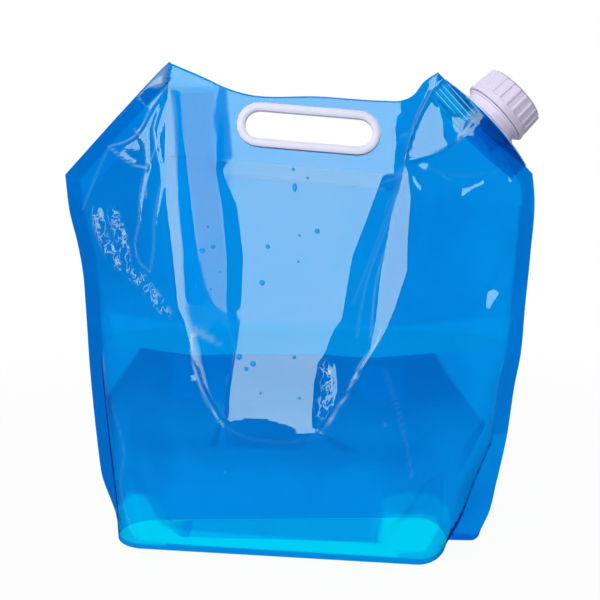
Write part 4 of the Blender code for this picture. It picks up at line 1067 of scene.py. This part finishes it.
class Nodes:
    """A short way to write the nodes of a material, or of the world."""

    def __init__(self, name, owner=None, output="OutputMaterial"):
        self.owner = owner or bpy.data.materials.new(name)
        self.owner.use_nodes = True
        self.tree = self.owner.node_tree
        self.tree.nodes.clear()
        self.output = self.add(output)

    def put(self, socket, value):
        if isinstance(value, bpy.types.NodeSocket):
            self.tree.links.new(value, socket)
        else:
            socket.default_value = value

    def add(self, kind, settings=None, **inputs):
        """A node with its inputs, by their names or as i0, i1 and so on."""
        node = self.tree.nodes.new("ShaderNode" + kind)
        for key, value in (settings or {}).items():
            setattr(node, key, value)
        for key, value in inputs.items():
            by_index = key[0] == "i" and key[1:].isdigit()
            self.put(node.inputs[int(key[1:])] if by_index else node.inputs[key], value)
        return node

    def math(self, operation, *values, clamp=False):
        node = self.add("Math", {"operation": operation, "use_clamp": clamp})
        for socket, value in zip(node.inputs, values):
            self.put(socket, value)
        return node.outputs[0]

    def mix(self, share, a, b):
        """Mixes two colours."""
        return self.add("Mix", {"data_type": "RGBA"}, i0=share, i6=a, i7=b).outputs[2]

    def both(self, share, a, b):
        """Mixes two shaders."""
        return self.add("MixShader", i0=share, i1=a, i2=b).outputs[0]

    def shader(self, kind, colour, **inputs):
        return self.add(kind, Color=colour, **inputs).outputs[0]

    def place(self):
        return self.add("TexCoord").outputs["Object"]

    def attribute(self, name):
        return self.add("Attribute", {"attribute_name": name}).outputs["Fac"]

    def noise(self, place, scale, detail, distortion=0.0):
        node = self.add("TexNoise", Vector=place, Scale=scale, Detail=detail, Distortion=distortion)
        return node.outputs["Fac"]

    def vector(self, operation, a, b, output=0):
        return self.add("VectorMath", {"operation": operation}, i0=a, i1=b).outputs[output]

    def ramp(self, value, low, high):
        """A soft step from 0 at low to 1 at high."""
        limits = {"From Min": low, "From Max": high}
        return self.add("MapRange", {"interpolation_type": "SMOOTHSTEP"}, Value=value, **limits).outputs[0]

    def surface(self, socket):
        self.tree.links.new(socket, self.output.inputs["Surface"])
        return self.owner


def painted_highlights(n, place, ribs, painted_highlight_share, crumple):
    """Painted highlights: stripes on the foot's ribs, lines along the sharp folds with the highlight
    patches, and fine lines where the film is crumpled.
    """
    inside = n.vector("DOT_PRODUCT", place, (OUTWARD[0], 0, OUTWARD[1]), "Value")
    stripes = n.math("SINE", n.math("MULTIPLY", inside, 2 * math.pi / RIB_PITCH))
    rib_highlights = n.math("MULTIPLY", n.math("POWER", n.math("MAXIMUM", stripes, 0.0), RIB_HIGHLIGHT_SHARPNESS), ribs)
    fine = n.noise(n.vector("MULTIPLY", place, CRUMPLE_HIGHLIGHT_SCALE), 1.0, 4.0, CRUMPLE_HIGHLIGHT_DISTORTION)
    off_line = n.math("DIVIDE", n.math("ABSOLUTE", n.math("SUBTRACT", fine, 0.5)), CRUMPLE_HIGHLIGHT_WIDTH)
    lines = n.math("MULTIPLY", n.math("SUBTRACT", 1.0, off_line, clamp=True), crumple)
    return n.math("MAXIMUM", n.math("MAXIMUM", rib_highlights, painted_highlight_share), lines)


def film_share(n, seal, facing, cloud, uneven):
    """How deep the film's colour is: on the seals and in the painted shade carried with them, where it
    turns away, and in soft clouds.
    """
    turned = n.math("MULTIPLY", n.math("POWER", facing, TURNED_POWER), TURNED_DEEPER * uneven)
    share = n.math("ADD", seal, turned, clamp=True)
    clouds = n.math("MULTIPLY", n.math("SUBTRACT", cloud, 0.5), CLOUD_DEEPER * uneven)
    return n.math("ADD", share, clouds, clamp=True)


def film_material(name, tints, gloss=0.047, glancing=0.4, haziness=0.02, uneven=1.0):
    """Clear coloured film: it tints what is behind it, and mirrors lamps more at a glancing angle."""
    plain_tint, deep_tint, painted_light_tint = tints
    n = Nodes(name)
    place = n.place()
    ribs, seal, painted_light, dull, double, painted_highlight_share, crumple = (n.attribute(key) for key in FILM_VALUES)
    height = n.math("MULTIPLY", n.noise(place, WAVE_SCALE, 3.0), WAVE_HEIGHT)
    bump = n.add("Bump", Height=height, Strength=1.0, Distance=1.0).outputs["Normal"]
    facing = n.add("LayerWeight", Blend=0.5, Normal=bump).outputs["Facing"]
    cloud = n.noise(place, CLOUD_SCALE, 4.0, CLOUD_DISTORTION)
    colour = n.mix(film_share(n, seal, facing, cloud, uneven), plain_tint, deep_tint)
    # Painted light: a lighter tint where the painted light value is
    colour = n.mix(painted_light, colour, painted_light_tint)
    through = n.shader("BsdfTransparent", n.mix(double, colour, FOOT_SEAL_TINT))
    clouded = n.both(haziness, through, n.shader("BsdfTranslucent", HAZE_BLUE))
    # Painted highlights, laid over the film as a pale diffuse colour
    all_highlights = painted_highlights(n, place, ribs, painted_highlight_share, crumple)
    highlight_paint = n.mix(all_highlights, HIGHLIGHT_BLUE, HIGHLIGHT_WHITE)
    highlight_paint = n.both(HIGHLIGHT_LIT_THROUGH, n.shader("BsdfDiffuse", highlight_paint), n.shader("BsdfTranslucent", highlight_paint))
    body = n.both(n.math("MULTIPLY", all_highlights, HIGHLIGHT_COVER), clouded, highlight_paint)
    rough = n.math("ADD", n.math("MULTIPLY", cloud, GLOSS_UNEVEN_ROUGHNESS), GLOSS_ROUGHNESS)
    shine = n.shader("BsdfGlossy", MIRROR_TINT, Roughness=rough, Normal=bump)
    even = n.math("ADD", n.math("MULTIPLY", n.math("POWER", facing, MIRROR_POWER), glancing), gloss)
    mottled = n.math("MULTIPLY", even, n.math("ADD", n.math("MULTIPLY", cloud, MOTTLE_RANGE), MOTTLE_LEAST))
    return n.surface(n.both(n.math("MULTIPLY", mottled, n.math("SUBTRACT", 1.0, dull)), body, shine))


def plastic_shader(n, colour, roughness=PLASTIC_ROUGHNESS):
    """Moulded plastic with a faint grain."""
    place = n.place()
    cloud = n.noise(place, PLASTIC_CLOUD_SCALE, 2.0)
    shade = tuple(c * PLASTIC_SHADE for c in colour[:3]) + (1,)
    rough = n.math("MULTIPLY_ADD", cloud, PLASTIC_UNEVEN, roughness - PLASTIC_UNEVEN / 2)
    grain = n.noise(place, PLASTIC_GRAIN_SCALE, 3.0)
    bump = n.add("Bump", Height=grain, Strength=0.08, Distance=PLASTIC_GRAIN_HEIGHT).outputs["Normal"]
    inputs = {"Base Color": n.mix(cloud, colour, shade), "Roughness": rough, "Normal": bump}
    return n.add("BsdfPrincipled", **inputs).outputs[0]


def plastic_material(name, *look):
    n = Nodes(name)
    return n.surface(plastic_shader(n, *look))


def spout_material(name, colour):
    """The spout's plastic. Its foot inside the film is mostly see-through, which lightens it: partly the
    plastic's own translucence, partly painted light. One half is tinted bluer as painted shade; the half
    behind the ribs is clear.
    """
    n = Nodes(name)
    foot = n.vector("SUBTRACT", n.place(), SPOUT_BASE)
    up = n.vector("DOT_PRODUCT", foot, SPOUT_AXIS, "Value")
    along = n.vector("DOT_PRODUCT", foot, (SLOPE[0], 0, SLOPE[1]), "Value")
    half = n.ramp(along, RIBS_START - RIBS_FADE, RIBS_START + RIBS_FADE)
    through = n.shader("BsdfTransparent", n.mix(half, BOAT_SHADE_TINT, WHITE))
    share = n.math("MULTIPLY", n.math("LESS_THAN", up, -FILM_GAP), BOAT_CLEAR_SHARE)
    return n.surface(n.both(share, plastic_shader(n, colour), through))


def water_material(name):
    """Water seen from the side, with painted shade: darkest just under its surface, away from the side
    seals.
    """
    n = Nodes(name)
    place = n.add("SeparateXYZ", i0=n.place())
    high = n.ramp(place.outputs["Z"], WATER_SHADE_FOOT_SHARE * WATER_HEIGHT, WATER_HEIGHT)
    below = n.math("SUBTRACT", WATER_HEIGHT, place.outputs["Z"])
    across = n.math("ABSOLUTE", n.math("ADD", place.outputs["X"], WATER_SHADE_OFFSET))
    out = n.math("SUBTRACT", across, n.math("MULTIPLY", below, WATER_SHADE_SPREAD))
    near = n.ramp(out, WATER_SHADE_HALF + WATER_SHADE_EDGE, WATER_SHADE_HALF - WATER_SHADE_EDGE)
    front = n.math("LESS_THAN", place.outputs["Y"], 0.0)
    share = n.math("MULTIPLY", n.math("MULTIPLY", high, near), front)
    return n.surface(n.shader("BsdfTransparent", n.mix(share, WHITE, WATER_SHADE_TINT)))


def surface_material(name):
    """The water's level surface, which mirrors at a glancing angle."""
    n = Nodes(name)
    facing = n.add("LayerWeight", Blend=0.5).outputs["Facing"]
    fresnel = n.math("MULTIPLY_ADD", n.math("POWER", facing, MIRROR_POWER), 1 - WATER_MIRROR, WATER_MIRROR)
    shine = n.shader("BsdfGlossy", WHITE, Roughness=WATER_ROUGHNESS)
    return n.surface(n.both(fresnel, n.shader("BsdfTransparent", WHITE), shine))


def drop_material(name):
    """A drop, half painted blue in a random tone and half clear: the blue is painted shade that shows the
    film's blue where the drop breaks up its mirrored light.
    """
    n = Nodes(name)
    tone = n.mix(n.noise(n.place(), DROP_CLOUD_SCALE, 2.0), DROP_DEEP, DROP_LIGHT)
    body = n.add("BsdfPrincipled", **{"Base Color": tone, "Roughness": DROP_ROUGHNESS}).outputs[0]
    return n.surface(n.both(0.5, body, n.shader("BsdfTransparent", DROP_TINT)))


def film_sheet(name, front, finish):
    """The front or the back film, with the hand slot open."""
    x, z = panel_places()
    obj = grid_mesh(name, panel_points(x, z, front), panel_values(x, z, front))
    if not front:
        obj.data.flip_normals()
    open_slot(obj)
    return finished(obj, finish)


def front_film(finish):
    obj = film_sheet("front_film_sheet", True, finish)
    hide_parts("front_panel")
    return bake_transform(obj)


def back_film(finish):
    obj = film_sheet("back_film_sheet", False, finish)
    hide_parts("back_panel")
    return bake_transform(obj)


def front_place(x, z):
    """Places on the outside of the front film, away from its folds."""
    depth = FILM_GAP / 2 + FILM_THICKNESS + np.maximum(front_depth(x, z), boat_depth(x, z))
    return np.stack([x, seal_plane(x, z), z], axis=-1) + depth[..., None] * seal_normal(x, z)


def drop_points(x, z, radius, tallness):
    """Rings of a dome on the front film, and its top. All sizes are in millimetres."""
    xs = x * MM + PROBE * np.array((0, 1, -1, 0, 0))
    zs = z * MM + PROBE * np.array((0, 0, 0, 1, -1))
    middle, right, left, over, under = (Vector(p) for p in front_place(xs, zs))
    across, up = (right - left).normalized(), (over - under).normalized()
    out = across.cross(up)
    radius = radius * MM
    points = []
    for ring in range(DROP_RINGS):
        tilt = ring / DROP_RINGS * math.pi / 2
        for turn in range(DROP_TURNS):
            angle = turn / DROP_TURNS * 2 * math.pi
            flat = across * math.cos(angle) + up * math.sin(angle) * tallness
            lift = DROP_THICKNESS_SHARE * math.sin(tilt)
            points.append(middle + radius * (flat * math.cos(tilt) + out * lift))
    return [*points, middle + out * radius * DROP_THICKNESS_SHARE]


def drop_faces(first):
    """Faces between a dome's rings, and from its last ring to its top. Its points start at first."""
    faces = []
    for ring in range(DROP_RINGS):
        for turn in range(DROP_TURNS):
            a = first + ring * DROP_TURNS + turn
            b = first + ring * DROP_TURNS + (turn + 1) % DROP_TURNS
            if ring < DROP_RINGS - 1:
                faces.append((a, b, b + DROP_TURNS, a + DROP_TURNS))
            else:
                faces.append((a, b, first + DROP_RINGS * DROP_TURNS))
    return faces


def water_drops(finish):
    """Small round drops on the front film, as one mesh."""
    points, faces = [], []
    for drop in DROPS:
        faces += drop_faces(len(points))
        points += drop_points(*drop)
    mesh = bpy.data.meshes.new("water_drops")
    mesh.from_pydata(points, [], faces)
    mesh.shade_smooth()
    mesh.materials.append(finish)
    obj = linked("water_drops", mesh)
    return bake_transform(obj)


def gusset_grid():
    """Rows across the bottom film: flat on the floor, and folded up between the panels at both ends."""
    left = scaled(LEFT_SIDE_SHARES)[0][0] + SEAL_WIDTH + GUSSET_END_INSET
    right = scaled(RIGHT_SIDE_SHARES)[0][0] - SEAL_WIDTH - FOOT_FIN_WIDTH - GUSSET_END_INSET
    xs = np.linspace(left, right, GUSSET_COLUMNS)
    middle, half = (left + right) / 2, (right - left) / 2
    out = np.abs(xs - middle) / half
    rise = GUSSET_END_RISE * eased((out - GUSSET_RISE_START_SHARE) / (1 - GUSSET_RISE_START_SHARE))
    foot = np.full_like(xs, FOOT_LIFT)
    front = pillow_depth(xs, foot, FRONT_DEPTH_SHARES, FRONT_SIDE_ROUNDING)
    front = -FILM_GAP / 2 - front + GUSSET_CLEARANCE
    back = pillow_depth(xs, foot, BACK_DEPTH_SHARES, BACK_SIDE_ROUNDING)
    back = FILM_GAP / 2 + back - GUSSET_CLEARANCE
    grid = []
    for w in np.linspace(0, 1, GUSSET_ROWS + 1):
        lift = eased((1 - abs(2 * w - 1)) / GUSSET_FLAT_SHARE)
        grid.append(np.stack([xs, front * (1 - w) + back * w, FILM_THICKNESS + rise * lift], axis=-1))
    return np.array(grid)


def gusset_film(finish):
    """The bottom film, bluer in the middle of its back part than at its ends and along its front, which are
    painted almost clear as painted light.
    """
    grid = gusset_grid()
    depth_share = np.linspace(0, 1, GUSSET_ROWS + 1)[:, None]
    middle = eased((GUSSET_CLEAR_HALF - np.abs(grid[..., 0] - GUSSET_MIDDLE)) / GUSSET_CLEAR_EDGE)
    obj = grid_mesh("gusset_film", grid, {"seal": middle * (depth_share > GUSSET_STRIP_SHARE)})
    finished(obj, finish, side=-1.0)
    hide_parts("bottom_gusset")
    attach(obj, "bag")
    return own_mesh(obj)


def water_loops():
    """Level rings round the water, from the gusset up to its surface: along the front, and back behind."""
    gusset = gusset_grid()
    fold_x, fold_z = gusset[0, :, 0], gusset[:, :, 2].max(0)
    loops = []
    for t in np.linspace(0, 1, WATER_ROWS):
        z_here = WATER_HEIGHT * t
        low = side_edge_x(LEFT_SIDE_SHARES, LEFT_PEAK, z_here) + SEAL_WIDTH + WATER_GAP
        fin = FOOT_FIN_WIDTH * max(0, 1 - z_here / FOOT_FIN_HEIGHT)
        high = side_edge_x(RIGHT_SIDE_SHARES, RIGHT_PEAK, z_here) - SEAL_WIDTH - fin - WATER_GAP
        share = (1 - np.cos(np.linspace(0, math.pi, WATER_COLUMNS))) / 2
        x = low + (high - low) * share
        floor = np.interp(x, fold_x, fold_z) + WATER_GAP
        z = floor + (WATER_HEIGHT - floor) * t
        front = np.maximum(front_depth(x, z) - WATER_GAP, WATER_LEAST_DEPTH)
        back = pillow_depth(x, z, BACK_DEPTH_SHARES, BACK_SIDE_ROUNDING) - WATER_GAP
        back = np.maximum(back, WATER_LEAST_DEPTH)
        loops.append([*zip(x, -front, z), *zip(x[::-1], back[::-1], z[::-1])])
    return loops


def water_fill(side_finish, surface_finish):
    """The water inside the films, up to its level."""
    bm = bmesh.new()
    rings = [[bm.verts.new(p) for p in loop] for loop in water_loops()]
    for one, other in zip(rings, rings[1:]):
        for i in range(len(one)):
            j = (i + 1) % len(one)
            bm.faces.new((one[i], one[j], other[j], other[i])).smooth = True
    for ring, index in ((rings[0], 0), (rings[-1], 1)):
        half = len(ring) // 2
        for i in range(half - 1):
            face = bm.faces.new((ring[i], ring[i + 1], ring[-2 - i], ring[-1 - i]))
            face.material_index = index
    bmesh.ops.recalc_face_normals(bm, faces=bm.faces)
    mesh = bpy.data.meshes.new("water_fill")
    bm.to_mesh(mesh)
    bm.free()
    mesh.materials.append(side_finish)
    mesh.materials.append(surface_finish)
    obj = linked("water_fill", mesh)
    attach(obj, "bag")
    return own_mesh(obj)


def paint(finish, *node_names):
    """Gives carried-over CAD nodes their material."""
    for name in node_names:
        obj = frame["nodes"][name]
        obj.data.materials.clear()
        obj.data.materials.append(finish)


def floor():
    """A pale floor that looks white to the camera, keeps the object's shadow and fades out around it."""
    bpy.ops.mesh.primitive_plane_add(size=FLOOR_SIZE)
    obj = bpy.context.object
    obj.name = "studio_floor"
    n = Nodes("floor_paper")
    light = n.add("LightPath")
    share = n.math("MULTIPLY", light.outputs["Is Camera Ray"], FLOOR_GLOW_SHARE)
    glow = n.shader("Emission", WHITE, Strength=1.0)
    shown = n.both(share, n.shader("BsdfDiffuse", FLOOR_GREY), glow)
    near = n.both(light.outputs["Is Glossy Ray"], shown, n.shader("BsdfDiffuse", FLOOR_MIRRORED))
    away = n.add("VectorMath", {"operation": "LENGTH"}, i0=n.place()).outputs["Value"]
    whole = n.both(n.ramp(away, *FLOOR_FADE), near, n.shader("BsdfTransparent", WHITE))
    obj.data.materials.append(n.surface(whole))


def world():
    """White to the camera, soft grey light, and nearly dark in mirrors apart from behind the pouch."""
    made = bpy.data.worlds.new("studio")
    bpy.context.scene.world = made
    n = Nodes("studio", made, "OutputWorld")
    light = n.add("LightPath")
    direction = n.add("SeparateXYZ", i0=n.add("TexCoord").outputs["Generated"])
    limits = {"From Min": 0.5, "From Max": 0.9, "To Min": 0.02}
    behind = n.add("MapRange", Value=direction.outputs["Y"], **limits).outputs[0]
    mirrored = n.add("Background", Strength=behind).outputs[0]
    grey = n.shader("Background", WORLD_TINT, Strength=WORLD_STRENGTH)
    room = n.both(light.outputs["Is Glossy Ray"], grey, mirrored)
    n.surface(n.both(light.outputs["Is Camera Ray"], room, n.shader("Background", WHITE)))


def facing_pouch(name, data, azimuth, elevation, distance):
    """A lamp or camera that faces the pouch; azimuth 0 is in front. Angles are in degrees."""
    a, e = math.radians(azimuth), math.radians(elevation)
    away = Vector((math.sin(a) * math.cos(e), -math.cos(a) * math.cos(e), math.sin(e)))
    obj = linked(name, data)
    obj.location = CAMERA_AIM + away * distance
    obj.rotation_mode = "QUATERNION"
    obj.rotation_quaternion = (-away).to_track_quat("-Z", "Y")
    return obj


def area_light(name, place, width, height, radiance, mirrored):
    data = bpy.data.lights.new(name, "AREA")
    data.shape = "RECTANGLE"
    data.size, data.size_y = width, height
    data.energy = radiance * math.pi * width * height
    obj = facing_pouch(name, data, *place)
    obj.visible_camera = False
    obj.visible_glossy = mirrored


def camera():
    data = bpy.data.cameras.new("camera")
    data.lens, data.sensor_width = CAMERA_LENS, CAMERA_SENSOR
    bpy.context.scene.camera = facing_pouch("camera", data, *CAMERA_PLACE)


def main():
    scene = bpy.context.scene
    scene.view_settings.view_transform = "Standard"
    scene.cycles.transparent_max_bounces = 24
    front_film(film_material("front_film", FILM_TINTS))
    water_drops(drop_material("water_drop"))
    back_film(film_material("back_film", FILM_TINTS, gloss=0.015, glancing=0.3))
    gusset_look = {"gloss": 0.01, "glancing": 0.05, "haziness": 0.0, "uneven": 0.0}
    gusset_film(film_material("gusset_film", GUSSET_TINTS, **gusset_look))
    water_fill(water_material("water"), surface_material("water_surface"))
    paint(plastic_material("handle_plastic", HANDLE_TONE), "handle_front_frame", "handle_back_frame")
    paint(spout_material("spout_plastic", SPOUT_TONE), "spout_fitment")
    paint(plastic_material("cap_plastic", SPOUT_TONE), "cap_shell")
    paint(plastic_material("liner_foam", LINER_TONE, LINER_ROUGHNESS), "cap_liner")
    floor()
    world()
    for light in LIGHTS:
        area_light(*light)
    camera()


main()
